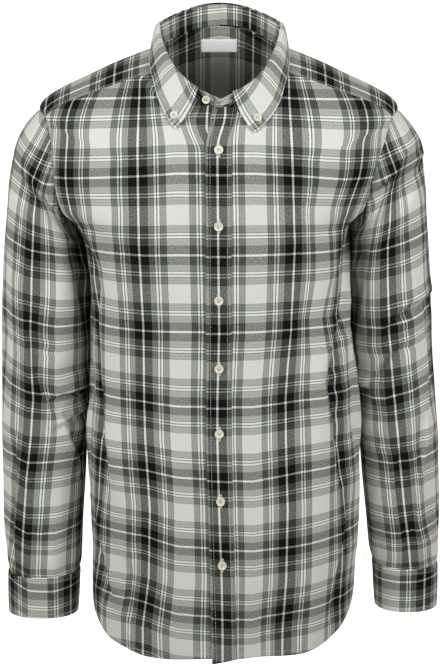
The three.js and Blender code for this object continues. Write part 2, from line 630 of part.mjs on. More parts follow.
function standPoint(angle, height) {
  const turned = onLeft(angle) ? angle + 360 : angle;
  const foot = ringPoint(turned, NECK).addScaledVector(ringNormal(turned, NECK), lapRise(angle));
  const top = foldPoint(angle);
  top.addScaledVector(radial(top), lapRise(angle));
  const fromEnd = Math.min(STAND_ENDS.under - angle, angle - STAND_ENDS.over);
  const rise = Math.sin((Math.PI / 2) * Math.min(1, fromEnd / TAB.reach));
  const full = TAB.height + (1 - TAB.height) * rise;
  return foot.lerp(top, full * height);
}
const standNormal = (angle, height) => normalOf(standPoint, angle, height, 0.5, 0.02);
const standAngles = steps(STAND_ENDS.over, STAND_ENDS.under, 48);
addWall('collar_stand', steps(0, 1, 3).map((height) => standAngles.map((angle) => (
  { point: standPoint(angle, height), normal: standNormal(angle, height) }))), BAND, TRIM);

// The collar leaf turns over the stand and falls to an edge that lies on the shirt.
function leafEdge(angle) {
  const left = onLeft(angle);
  const table = left ? LEAF_EDGE_LEFT : LEAF_EDGE_RIGHT;
  const fold = left ? 360 + angle : -angle;
  const turn = along(table, 'fold', 'angle', fold);
  const level = along(table, 'fold', 'level', fold);
  const surface = left ? leftFront : torso;
  const normal = torsoNormal(left ? turn : -turn, level);
  return { point: surface(left ? turn : -turn, level).addScaledVector(normal, LEAF_REST), normal };
}

function leafPoint(angle, share) {
  const top = foldPoint(angle);
  const out = radial(top);
  top.addScaledVector(out, lapRise(angle));
  const edge = leafEdge(angle);
  const start = top.clone().addScaledVector(out, -1).add(new THREE.Vector3(0, 0, LEAF_CLOTH + 0.6));
  const turn = top.clone().addScaledVector(out, 5).add(new THREE.Vector3(0, 0, 5));
  const fall = edge.point.clone().lerp(top, 0.45).addScaledVector(edge.normal, LEAF_ROLL);
  const fromEnd = Math.min(LEAF_ENDS.right - angle, angle - LEAF_ENDS.left);
  fall.x += (onLeft(angle) ? -1 : 1) * LEAF_BOW.out * Math.exp(-((fromEnd / LEAF_BOW.reach) ** 2));
  const curve = new THREE.CubicBezierCurve3(start, turn, fall, edge.point);
  return curve.getPoint(share);
}
const leafNormal = (angle, share) => normalOf(leafPoint, angle, share, 0.5, 0.01).negate();
const leafAngles = steps(LEAF_ENDS.left, LEAF_ENDS.right, 44);
addWall('collar_leaf', [0, 0.12, 0.26, 0.44, 0.63, 0.82, 1].map((share) => leafAngles.map((angle) => (
  { point: leafPoint(angle, share), normal: leafNormal(angle, share) }))), LEAF_CLOTH, TRIM);

// Buttons: turned discs with a raised rim, each just off the cloth it is sewn to.
function addButton(name, point, normal, radius) {
  const rim = BUTTON_THICK;
  const dish = BUTTON_THICK - 0.5;
  const profile = [[0, 0], [radius, 0], [radius, dish], [radius - 0.9, rim], [radius - 1.8, dish], [0, dish]];
  const geometry = new THREE.LatheGeometry(profile.map(([x, y]) => new THREE.Vector2(x, y)), 14);
  const material = new THREE.MeshStandardMaterial({ color: BUTTON.colour, roughness: BUTTON.roughness });
  const button = new THREE.Mesh(geometry, material);
  button.name = name;
  button.position.copy(point).addScaledVector(normal, SEAM_GAP);
  button.quaternion.setFromUnitVectors(new THREE.Vector3(0, 1, 0), normal);
  shirt.add(button);
}
FRONT_BUTTONS.forEach((height, i) => {
  const level = spotAt(0, height).level;
  const angle = placketAngle(PLACKET_WIDTH / 2, level);
  const normal = torsoNormal(angle, level);
  const point = torso(angle, level).addScaledVector(normal, OVERLAP);
  addButton(`button_front_${i + 1}`, point, normal, BUTTON_RADIUS);
});
addButton('button_stand', standPoint(-13, 0.42), standNormal(-13, 0.42), COLLAR_BUTTON_RADIUS);
addButton('button_collar_right', leafPoint(-24.5, 0.9), leafNormal(-24.5, 0.9), COLLAR_BUTTON_RADIUS);
addButton('button_collar_left', leafPoint(-342.5, 0.87), leafNormal(-342.5, 0.87), COLLAR_BUTTON_RADIUS);
for (const [name, table, side] of [['right', SLEEVE_RIGHT, -1], ['left', SLEEVE_LEFT, 1]]) {
  const surface = (around, down) => cuffPoint(table, side, around, down);
  const [around, down] = [CUFF_START + CUFF_TURN - 10, CUFF_END - 27];
  const normal = normalOf(surface, around, down, 1, 1).multiplyScalar(side);
  addButton(`button_cuff_${name}`, surface(around, down), normal, BUTTON_RADIUS);
}

// The blank woven label inside the back neck.
const labelInset = CLOTH + 2 * SEAM_GAP;
const labelCells = steps(LABEL.bottom, LABEL.top, 3).map((height) => (
  steps(LABEL.left, LABEL.right, 6).map((x) => {
    const { angle, level } = spotAt(x, height, true);
    const normal = torsoNormal(angle, level);
    return { point: torso(angle, level).addScaledVector(normal, -labelInset), normal };
  })));
addWall('neck_label', labelCells, LABEL.thick, WOVEN);

export default shirt;
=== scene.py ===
# A men's flannel shirt, filled out as it is worn, for a still picture from the front.
# Sizes are millimetres and become metres where a mesh is made. +X is the wearer's left, -Y the front.
import math

import bpy
import numpy as np
from mathutils import Matrix, Vector


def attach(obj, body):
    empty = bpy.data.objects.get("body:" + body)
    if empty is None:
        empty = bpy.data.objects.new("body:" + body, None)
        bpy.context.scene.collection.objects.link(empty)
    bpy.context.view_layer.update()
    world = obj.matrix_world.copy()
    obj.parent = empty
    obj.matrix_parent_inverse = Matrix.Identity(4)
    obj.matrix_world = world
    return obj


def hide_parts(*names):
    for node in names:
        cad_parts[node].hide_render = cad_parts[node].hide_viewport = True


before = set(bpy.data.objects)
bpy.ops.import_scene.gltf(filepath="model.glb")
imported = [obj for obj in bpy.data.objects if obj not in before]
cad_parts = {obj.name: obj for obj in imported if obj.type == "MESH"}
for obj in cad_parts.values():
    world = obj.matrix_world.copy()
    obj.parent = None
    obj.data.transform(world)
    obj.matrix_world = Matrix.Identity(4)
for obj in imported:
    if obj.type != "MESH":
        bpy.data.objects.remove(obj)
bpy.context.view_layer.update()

# Camera. It stands two metres off and looks down ten degrees on the middle of the shirt, with a long lens,
# so that the shirt fills the upright frame.
MM = 0.001
PICTURE_LONG = 666
AIM = Vector((0, 0, -0.372))
DISTANCE = 2.0
RISE = math.radians(10)
SEEN_PER_PIXEL = 0.0012
SENSOR = 36


def add_object(name, data):
    """An object in the scene that holds a mesh, a light or a camera."""
    thing = bpy.data.objects.new(name, data)
    bpy.context.collection.objects.link(thing)
    return thing


camera_data = bpy.data.cameras.new("front_camera")
camera_data.sensor_width = SENSOR
camera_data.lens = SENSOR * DISTANCE / (PICTURE_LONG * SEEN_PER_PIXEL)
camera = add_object("front_camera", camera_data)
camera.location = AIM + DISTANCE * Vector((0, -math.cos(RISE), math.sin(RISE)))
camera.rotation_euler = (math.radians(90) - RISE, 0, 0)
bpy.context.scene.camera = camera

# Paper sweep. A wide roll of white seamless paper. It runs along the floor below the shirt and curves up
# behind, far enough off that no shadow falls on it.
FLOOR_LEVEL = -1.15
SWEEP_HALF = 2.2
SWEEP_FRONT = 0.4
SWEEP_BACK = 5.0
SWEEP_BEND = 3.0
SWEEP_TOP = 9.0
PAPER_WHITE = 0xFCFCFB


def linear(colour):
    """The linear red, green, blue and alpha of an sRGB hex colour."""
    parts = [(colour >> shift & 255) / 255 for shift in (16, 8, 0)]
    return [p / 12.92 if p <= 0.04045 else ((p + 0.055) / 1.055) ** 2.4 for p in parts] + [1.0]


def add_node(tree, kind, settings=(), **links):
    """One node in a material, with its settings. Its inputs are linked or set, by name or by number."""
    node = tree.nodes.new(kind)
    for key, value in dict(settings).items():
        setattr(node, key, value)
    for key, value in links.items():
        by_number = key[0] == "n" and key[1:].isdigit()
        socket = node.inputs[int(key[1:]) if by_number else key.replace("_", " ")]
        if isinstance(value, bpy.types.NodeSocket):
            tree.links.new(value, socket)
        else:
            socket.default_value = value
    return node


def new_material(name, **constants):
    """A material with its surface shader, the constants on the shader's inputs, and its output."""
    material = bpy.data.materials.new(name)
    material.use_nodes = True
    tree = material.node_tree
    tree.nodes.clear()
    surface = add_node(tree, "ShaderNodeBsdfPrincipled", {}, **constants)
    add_node(tree, "ShaderNodeOutputMaterial", {}, Surface=surface.outputs["BSDF"])
    return material, tree, surface


# Matt paper: white, with no gloss. It gives off light of its own, so that it comes out pure white, as a
# backdrop lit from behind does.
paper, _, _ = new_material("seamless_paper", Base_Color=linear(PAPER_WHITE), Roughness=0.95,
                           Specular_IOR_Level=0.1, Emission_Color=linear(PAPER_WHITE), Emission_Strength=1.0)

profile = [(SWEEP_FRONT, FLOOR_LEVEL)]
for turn in np.linspace(0, math.pi / 2, 25):
    along_floor = SWEEP_BACK - SWEEP_BEND + SWEEP_BEND * math.sin(turn)
    profile.append((along_floor, FLOOR_LEVEL + SWEEP_BEND * (1 - math.cos(turn))))
profile.append((SWEEP_BACK, SWEEP_TOP))
sweep_mesh = bpy.data.meshes.new("paper_sweep")
corners = [(side * SWEEP_HALF, y, z) for y, z in profile for side in (-1, 1)]
strips = [(2 * i, 2 * i + 1, 2 * i + 3, 2 * i + 2) for i in range(len(profile) - 1)]
sweep_mesh.from_pydata(corners, [], strips)
sweep_mesh.shade_smooth()
sweep_mesh.materials.append(paper)
sweep = add_object("paper_sweep", sweep_mesh)

# Studio floor under the paper: pale grey painted boards, matt and even, all round the shirt.
FLOOR_GREY = 0xDCDCDA
FLOOR_HALF = 9.0
FLOOR_DROP = 0.01
floor_paint, _, _ = new_material("matt_floor_paint", Base_Color=linear(FLOOR_GREY), Roughness=0.9,
                                 Specular_IOR_Level=0.15)
floor_mesh = bpy.data.meshes.new("studio_floor")
floor_corners = [
    (x * FLOOR_HALF, y * FLOOR_HALF, FLOOR_LEVEL - FLOOR_DROP)
    for x, y in ((-1, -1), (1, -1), (1, 1), (-1, 1))
]
floor_mesh.from_pydata(floor_corners, [], [(0, 1, 2, 3)])
floor_mesh.materials.append(floor_paint)
floor = add_object("studio_floor", floor_mesh)

# Studio light. Two square softboxes in front with grids on them, a weak one overhead, and pale walls.
SOFTBOXES = [
    # name, place, width, height, watts
    ("softbox_right", (-1.3, -1.25, 0.32), 0.9, 0.9, 6.4),
    ("softbox_left", (1.3, -1.25, 0.32), 0.9, 0.9, 5.8),
    ("overhead", (0.0, -0.8, 1.3), 1.4, 1.0, 0.6),
]
LIGHT_AIM = Vector((0, 0, -0.24))
GRID_SPREAD = 85
for name, place, width, height, watts in SOFTBOXES:
    light = bpy.data.lights.new(name, "AREA")
    light.shape = "RECTANGLE"
    light.size = width
    light.size_y = height
    light.energy = watts
    light.spread = math.radians(GRID_SPREAD)
    lamp = add_object(name, light)
    lamp.location = place
    lamp.rotation_euler = (LIGHT_AIM - Vector(place)).to_track_quat("-Z", "Y").to_euler()
world = bpy.data.worlds.new("pale_studio")
world.use_nodes = True
world.node_tree.nodes["Background"].inputs["Color"].default_value = (1, 1, 1, 1)
world.node_tree.nodes["Background"].inputs["Strength"].default_value = 0.15
bpy.context.scene.world = world
bpy.context.scene.view_settings.view_transform = "Standard"

# The body's form. The fronts, the back and the yoke are cut from one check flannel and lie on one surface:
# rings round the body, each with its half-widths, depths and heights, as the cut hangs on a general figure.
CLOTH = 1.4
SEAM_GAP = 0.3
OVERLAP = 2.6
PLACKET_WIDTH = 29
UNDER_EDGE = 26
CHEST = -240
NECK = -101


def table(columns, rows):
    """Rows of numbers under named columns."""
    return dict(zip(columns.split(), np.array(rows, float).T))


TORSO = table("level right left fore aft side back square", [
    (-790, 152, 154, 112, 112, -790, -790, 2.6),
    (-690, 156, 163, 114, 112, -690, -690, 2.7),
    (-600, 155, 166, 115, 108, -600, -600, 2.8),
    (-500, 155, 163, 113, 98, -500, -500, 2.8),
    (-430, 151, 159, 111, 94, -430, -430, 2.8),
    (-330, 152, 153, 115, 102, -330, -330, 2.9),
    (-280, 156, 151, 118, 106, -280, -280, 3.0),
    (-240, 168, 153, 119, 108, -240, -240, 3.0),
    (-226, 199, 180, 119.5, 109, -212, -224, 2.6),
    (-204, 212, 197, 119, 110, -168, -194, 2.4),
    (-168, 211, 208, 113, 106, -104, -130, 2.4),
    (-135, 142, 139, 99, 90, -60, -64, 2.3),
    (-101, 66, 66, 78, 62, -29, -9, 2.1),
])
ARMHOLE = table("at angle level", [
    (0, 90, -240),
    (1, 62, -227),
    (2, 59, -203),
    (3, 67, -167),
    (4, 90, -169),
    (5, 113, -176),
    (6, 122, -204),
    (7, 118, -228),
    (8, 90, -240),
])
FRONT_SEAM = 3
BACK_SEAM = 5
LAST_SEAM = 8
YOKE_FRONT = table("level angle", [(-167, 67), (-135, 61), (-101, 54)])
YOKE_LEVEL = -167
YOKE_BACK_CENTRE = -153
HEM = table("angle front rear", [
    (0, -740, -768),
    (30, -741, -764),
    (48, -730, -750),
    (66, -706, -720),
    (90, -676, -676),
])
HEM_RISE_LEFT = 6
PLACKET_DROP = 6
PLACKET_EDGE = table("level x", [
    (-790, -8), (-745, -9), (-600, -12.5), (-450, -15.5), (-150, -16), (-125, -12.5), (-101, -8),
])
# Each fold runs between two points given by angle and height. `wide` is its half-width and `deep` is how far
# it sinks in; a negative depth stands proud. Angles over 90 are the back.
FOLD_COLUMNS = "start top end bottom wide deep"
BODY_FOLDS = table(FOLD_COLUMNS, [
    (-60, -290, -58, -560, 17, 6),
    (-76, -330, -78, -600, 15, -4),
    (-76, -236, -52, -330, 15, 5),
    (72, -215, 56, -400, 17, 8),
    (50, -430, 60, -590, 18, 6),
    (74, -330, 78, -620, 16, -5),
    (97, -212, 96, -345, 12, -3),
    (-97, -212, -96, -345, 12, -3),
    (-24, -560, -20, -770, 20, -4),
    (-42, -600, -40, -770, 17, 4),
    (34, -600, 38, -770, 20, -5),
    (18, -640, 17, -770, 14, 4),
    (-128, -230, -134, -620, 20, 7),
    (126, -240, 137, -560, 19, 7),
    (172, -380, 176, -620, 22, -4),
    (-156, -600, -152, -790, 20, 5),
    (158, -560, 155, -790, 18, 5),
])
# Softer creases between the large ones: drags from the underarms, the pull of the waist, ripples at the hem.
BODY_CREASES = table(FOLD_COLUMNS, [
    (-66, -222, -36, -262, 6, 1.6),
    (-70, -250, -46, -300, 7, 1.8),
    (64, -218, 36, -250, 6, 1.5),
    (68, -244, 44, -330, 7, 2.0),
    (-86, -270, -70, -380, 7, 2.2),
    (-68, -390, -84, -470, 8, 1.8),
    (-52, -420, -70, -520, 9, 1.6),
    (-34, -330, -38, -480, 12, 1.2),
    (84, -300, 66, -420, 8, 2.4),
    (62, -440, 82, -530, 8, 2.0),
    (36, -300, 33, -470, 12, 1.2),
    (24, -480, 27, -610, 12, -1.2),
    (-54, -610, -60, -700, 9, 1.8),
    (58, -620, 64, -690, 9, 1.8),
    (-10, -650, -11, -745, 8, -1.2),
    (46, -640, 50, -735, 9, 1.6),
    (-30, -690, -31, -745, 7, 1.4),
    (110, -260, 150, -300, 8, 1.8),
    (-112, -262, -146, -322, 8, 1.8),
    (118, -330, 128, -450, 10, 2.0),
    (-116, -360, -124, -500, 10, 2.0),
    (146, -420, 172, -470, 9, 1.4),
    (-150, -440, -176, -500, 9, 1.4),
    (100, -520, 112, -640, 9, 2.0),
    (-98, -540, -110, -650, 9, 2.0),
    (176, -200, 178, -330, 12, 1.6),
    (-168, -190, -160, -300, 10, 1.4),
    (166, -196, 156, -290, 10, 1.4),
])
BODY_MM_PER_DEGREE = 2.4
# The folds fade out between these depths below the neck, and a faint waver keeps the plain stretches from
# looking stiff.
FADE_FROM, FADE_TO = 150, 230
BODY_WAVER = 0.35
ANGLE_STEP, LEVEL_STEP = 0.4, 0.8
BODY_MIDDLE = np.array([0, 0, -400])
HALVINGS = 26
# Laps, where the cloth folds over itself along a line: half-width, height, and the line's places. With a
# positive height the cloth stands proud on the line's left, seen from outside and going along it.
LAP_EDGE = 2.4
LAP_GROOVE = 0.7
BODY_LAPS = [
    (22, -6.5, [(-60, -300), (-61, -340), (-60, -400), (-57, -450), (-50, -510), (-49, -560)]),
    (16, 4.0, [(-78, -330), (-81, -400), (-77, -480), (-80, -560)]),
    (14, -4.0, [(82, -240), (76, -284), (70, -320), (62, -350)]),
    (22, 6.5, [(60, -325), (50, -365), (45, -412), (48, -460), (53, -545)]),
    (16, -4.0, [(76, -390), (72, -440), (77, -530)]),
    (14, -3.5, [(-66, -570), (-54, -632), (-46, -700)]),
    (14, 3.0, [(60, -560), (50, -640), (46, -710)]),
    (12, 2.5, [(-34, -590), (-40, -660), (-38, -735)]),
    (16, 4.0, [(-150, -260), (-140, -400), (-146, -560)]),
    (16, -4.0, [(148, -270), (140, -420), (147, -580)]),
]


def along(rows, key, column, at):
    """A smooth curve through one column of a table, with no bump that the table doesn't have."""
    x, y = rows[key], rows[column]
    slope = np.diff(y) / np.diff(x)
    before, after = slope[:-1], slope[1:]
    same = before * after > 0
    middle = np.where(same, 2 * before * after / np.where(same, before + after, 1), 0)
    tangent = np.concatenate([slope[:1], middle, slope[-1:]])
    at = np.asarray(at, float)
    i = np.clip(np.searchsorted(x, at) - 1, 0, len(x) - 2)
    span = x[i + 1] - x[i]
    t = np.clip((at - x[i]) / span, 0, 1)
    start = (1 + 2 * t) * (1 - t) ** 2 * y[i] + t * (1 - t) ** 2 * span * tangent[i]
    return start + t * t * (3 - 2 * t) * y[i + 1] + t * t * (t - 1) * span * tangent[i + 1]


def ease(value, low, high):
    """0 below low, 1 above high, and a soft step between."""
    t = np.clip((value - low) / (high - low), 0, 1)
    return t * t * (3 - 2 * t)


def sinking(folds, across, down, scale):
    """How deep the folds of a table are at each place: each is a soft trough round a straight line."""
    depth = np.zeros(np.broadcast(across, down).shape)
    for start, top, end, bottom, wide, deep in zip(*folds.values()):
        run_x, run_y = (end - start) * scale, bottom - top
        x, y = (across - start) * scale, down - top
        t = np.clip((x * run_x + y * run_y) / (run_x ** 2 + run_y ** 2), 0, 1)
        away = np.hypot(x - t * run_x, y - t * run_y) / wide
        ends = 0.35 + 0.65 * np.sin(math.pi * np.clip(t, 0.02, 0.98))
        depth += deep * ends * np.exp(-away ** 2)
    return depth


def lapping(laps, across, down, scale):
    """How deep the cloth lies beside the lines where it folds over: proud on one side, sunk on the other."""
    depth = np.zeros(np.broadcast(across, down).shape)
    for wide, tall, line in laps:
        x, y = np.array(line, float).T * np.array([[scale], [1.0]])
        lengths = np.hypot(np.diff(x), np.diff(y))
        nearest = np.full(depth.shape, 1e6)
        side, run = np.zeros(depth.shape), np.zeros(depth.shape)
        for k, long in enumerate(lengths):
            step_x, step_y = x[k + 1] - x[k], y[k + 1] - y[k]
            off_x, off_y = across * scale - x[k], down - y[k]
            t = np.clip((off_x * step_x + off_y * step_y) / long ** 2, 0, 1)
            away = np.hypot(off_x - t * step_x, off_y - t * step_y)
            closer = away < nearest
            side = np.where(closer, np.sign(step_x * off_y - step_y * off_x), side)
            run = np.where(closer, (lengths[:k].sum() + t * long) / lengths.sum(), run)
            nearest = np.where(closer, away, nearest)
        ends = np.sin(math.pi * np.clip(run, 0, 1)) ** 0.6
        depth += tall * ends * side * np.tanh(nearest / LAP_EDGE) * np.exp(-(nearest / wide) ** 2)
        depth += abs(tall) * ends * LAP_GROOVE * np.exp(-(nearest / LAP_EDGE) ** 2)
    return depth


def unit(vectors):
    """The same directions at length 1."""
    return vectors / np.maximum(np.linalg.norm(vectors, axis=-1, keepdims=True), 1e-9)


def normal_of(surface, u, v, step_u, step_v):
    """The direction square to a surface that is a function of two numbers."""
    along_u = surface(u + step_u, v) - surface(u - step_u, v)
    along_v = surface(u, v + step_v) - surface(u, v - step_v)
    return unit(np.cross(along_u, along_v))


def ring_point(angle, level):
    """The body's plain form. Angle 0 is the centre front, 90 the wearer's left side, 180 the centre back."""
    angle, level = np.broadcast_arrays(np.asarray(angle, float), np.asarray(level, float))
    s, c = np.sin(np.radians(angle)), np.cos(np.radians(angle))
    square = along(TORSO, "level", "square", level)
    r = (np.abs(s) ** square + np.abs(c) ** square) ** (-1 / square)
    half = np.where(s < 0, along(TORSO, "level", "right", level), along(TORSO, "level", "left", level))
    depth = np.where(c > 0, along(TORSO, "level", "fore", level), along(TORSO, "level", "aft", level))
    side = along(TORSO, "level", "side", level)
    end = np.where(c > 0, level, along(TORSO, "level", "back", level))
    return np.stack([half * r * s, -depth * r * c, side + (end - side) * c * c], -1)


def ring_normal(angle, level):
    """The outward direction of the body's plain form."""
    return normal_of(ring_point, angle, level, ANGLE_STEP, LEVEL_STEP)


def wrapped(angle):
    """The same angle between -180 and 180."""
    return np.where(angle > 180, angle - 360, angle)


def torso(angle, level):
    """The body's form with its folds and creases, which fade out towards the neck seam."""
    angle, level = np.broadcast_arrays(np.asarray(angle, float), np.asarray(level, float))
    turn = wrapped(angle)
    calm = ease(-level, FADE_FROM, FADE_TO)
    depth = sinking(BODY_FOLDS, turn, level, BODY_MM_PER_DEGREE) * calm
    depth += sinking(BODY_CREASES, turn, level, BODY_MM_PER_DEGREE) * calm
    depth += lapping(BODY_LAPS, turn, level, BODY_MM_PER_DEGREE) * calm
    around = np.radians(angle)
    depth += BODY_WAVER * calm * np.sin(5 * around + level / 37) * np.sin(level / 29 + 2 * around)
    return ring_point(angle, level) - ring_normal(angle, level) * depth[..., None]


def torso_normal(angle, level):
    """The outward direction of the body with its folds."""
    return normal_of(torso, angle, level, ANGLE_STEP, LEVEL_STEP)


def armhole(at):
    """The angle and level at a place along the armhole seam."""
    return along(ARMHOLE, "at", "angle", at), along(ARMHOLE, "at", "level", at)


def angle_at(x, level):
    """The angle at which a ring passes over x on the front."""
    x, level = np.broadcast_arrays(np.asarray(x, float), np.asarray(level, float))
    low, high = np.full(x.shape, -89.0), np.full(x.shape, 89.0)
    for _ in range(HALVINGS):
        middle = (low + high) / 2
        short = ring_point(middle, level)[..., 0] < x
        low, high = np.where(short, middle, low), np.where(short, high, middle)
    return (low + high) / 2


def hem_at(angle):
    """The hem's height at an angle."""
    turn = np.abs(wrapped(angle))
    front = along(HEM, "angle", "front", np.minimum(turn, 90))
    rear = along(HEM, "angle", "rear", np.minimum(180 - turn, 90))
    return np.where(turn <= 90, front, rear) + HEM_RISE_LEFT * np.maximum(0, np.sin(np.radians(angle)))


def placket_angle(across, level):
    """The angle at a distance across the placket from its edge."""
    return angle_at(along(PLACKET_EDGE, "level", "x", level) + across, level)


# The check. White lines cross the fronts at these places, in millimetres: the warp lines by height and the
# weft lines by their place across. They set how the cloth was cut and how it hangs.
WARP_REPEAT = 86
WEFT_REPEAT = 88
# Near the neck the right front leans out: how far its middle line moves over, and between which heights.
RIGHT_LEAN, RIGHT_LEAN_FROM, RIGHT_LEAN_TO = 12, -150, -122
# This far below the last known place of the outer line the cloth is not stretched.
PLAIN_BELOW = 60
SMOOTHED_ROWS = 11
FRONT_WARP = table("z right middle left", [
    (-705, -91, 3, 73), (-644, -83, 2, 77), (-560, -81, -1, 78), (-477, -86, -3, 75.5),
    (-430, -87, -3, 75), (-395, -87, -2, 77), (-349, -87, -1, 81), (-252, -91, -2, 84),
    (-140, -92, -3, 80), (-91, -91, -3, 78),
])
FAR_WARP_RIGHT = table("z x", [
    (-245, -159), (-210, -172), (-182, -175), (-165, -176), (-148, -173), (-100, -171),
])
FAR_WARP_LEFT = table("z x", [
    (-376, 131), (-341, 132), (-306, 137), (-272, 138), (-229, 141), (-204, 147), (-181, 158), (-159, 161),
    (-142, 161), (-100, 168),
])
FRONT_WEFT = table("x line_8 line_7 line_6 line_5 line_4 line_3 line_2 line_1 line_0 line_top", [
    (-175, -754, -670, -590, -512, -430, -348, -262, -180, -92, -4),
    (-86, -757, -673, -592, -514, -434, -351, -264, -175, -90, -2),
    (-49, -766, -684, -602, -521, -438, -351, -263, -172, -88, 0),
    (38, -774, -692, -608, -525, -438, -351, -263, -172, -88, 0),
    (89, -766, -683, -604, -517, -433, -349, -262, -175, -91, -3),
    (140, -760, -677, -598, -513, -430, -348, -262, -180, -92, -4),
])


def weft_place(rows, across, key, z):
    """How far along the cloth each point lies, from the heights of the white weft lines there."""
    lines = [name for name in rows if name != key]
    heights = np.stack([np.interp(across, rows[key], rows[name]) for name in lines], -1)
    place = np.zeros(np.shape(z))
    for n in range(len(lines) - 1):
        low, high = heights[..., n], heights[..., n + 1]
        share = (z - low) / (high - low)
        inside = (share >= 0) if n else np.full(np.shape(z), True)
        place = np.where(inside, (n + share) * WEFT_REPEAT, place)
    return place


def arc(points):
    """The length along each row of points, from its first one."""
    step = np.linalg.norm(np.diff(points, axis=1), axis=-1)
    return np.concatenate([np.zeros((len(points), 1)), np.cumsum(step, axis=1)], 1)


def crossing(row, length, line):
    """How far along a row of points a white warp line first crosses it, and whether it does."""
    ahead = row[:, 0] - np.interp(row[:, 2], line["z"], line["x"])
    passed = np.flatnonzero(ahead[:-1] * ahead[1:] <= 0)
    if len(passed) == 0:
        return length[np.argmin(np.abs(ahead))], False
    k = passed[0]
    return length[k] + (length[k + 1] - length[k]) * ahead[k] / (ahead[k] - ahead[k + 1]), True


def front_cut(points):
    """The warp and weft place of each point of a front, so that the white lines fall as shown."""
    length = arc(points)
    side = -1 if points[..., 0].mean() < 0 else 1
    near_line = {"z": FRONT_WARP["z"], "x": FRONT_WARP["right" if side < 0 else "left"]}
    far_line = FAR_WARP_RIGHT if side < 0 else FAR_WARP_LEFT
    starts, nears, stretches, known = [], [], [], []
    for i, (row, s) in enumerate(zip(points, length)):
        near, _ = crossing(row, s, near_line)
        far, crossed = crossing(row, s, far_line)
        middle = np.interp(row[0, 2], FRONT_WARP["z"], FRONT_WARP["middle"])
        if side < 0:
            middle -= RIGHT_LEAN * ease(row[0, 2], RIGHT_LEAN_FROM, RIGHT_LEAN_TO)
        starts.append((middle - row[0, 0]) * side)
        nears.append(near)
        if crossed and row[-1, 2] > far_line["z"][0]:
            stretches.append((far - near) / WARP_REPEAT)
            known.append(i)
        elif row[-1, 2] < far_line["z"][0] - PLAIN_BELOW:
            stretches.append(1.0)
            known.append(i)
    stretch = np.interp(np.arange(len(points)), known, stretches)
    stretch = np.pad(stretch, SMOOTHED_ROWS // 2, "edge")
    stretch = np.convolve(stretch, np.ones(SMOOTHED_ROWS) / SMOOTHED_ROWS, "valid")[:, None]
    start, near = np.array(starts)[:, None], np.array(nears)[:, None]
    inner = (length - start) * WARP_REPEAT / (near - start)
    past = (length - near) / stretch
    beyond = np.maximum(length - near - WARP_REPEAT * stretch, 0)
    outer = WARP_REPEAT + np.minimum(past, WARP_REPEAT) + beyond
    warp = side * np.where(length < near, inner, outer)
    return np.stack([warp, weft_place(FRONT_WEFT, points[..., 0], "x", points[..., 2])], -1)


def eased(count, fine=0.6):
    """Shares from 0 to 1, closer together at both ends."""
    t = np.linspace(0, 1, count)
    return t - fine * np.sin(2 * math.pi * t) / (2 * math.pi)


def grid_normal(points, middle, ring=False):
    """The outward direction at each point of a grid. `middle` is a point or points inside it."""
    if ring:
        wide = np.concatenate([points[:, -1:], points, points[:, :1]], 1)
        across = np.gradient(wide, axis=1)[:, 1:-1]
    else:
        across = np.gradient(points, axis=1)
    normal = unit(np.cross(across, np.gradient(points, axis=0)))
    outward = points - middle
    return normal if (normal * outward).sum(-1).mean() > 0 else -normal


def edge_distance(points, edge):
    """How far each point of a grid is from its first or last row or column, along the cloth."""
    if edge in ("first_row", "last_row"):
        points = points.transpose(1, 0, 2)
    length = arc(points)
    if edge.startswith("last"):
        length = length[:, -1:] - length
    return length if edge.endswith("column") else length.T


# How a wall of cloth is made up: pressed down beside its seams, turned in at the hem, rounded at the edges.
SEAM_DIP = 0.7
SEAM_DIP_WIDE = 2.4
HEM_FOLD = 7.0
HEM_FOLD_THICK = 0.9
RIM_BULGE = 0.35


def dipped(points, normal, edges):
    """The points, pressed down beside the seams as the iron leaves them."""
    sink = np.zeros(points.shape[:2])
    for edge in edges:
        sink += SEAM_DIP * np.exp(-(edge_distance(points, edge) / SEAM_DIP_WIDE) ** 2)
    return points - normal * sink[..., None]


def hemmed(points, edge):
    """The cloth's thickness, with a narrow fold turned in along one edge."""
    return CLOTH + HEM_FOLD_THICK * (1 - ease(edge_distance(points, edge), HEM_FOLD - 1, HEM_FOLD))


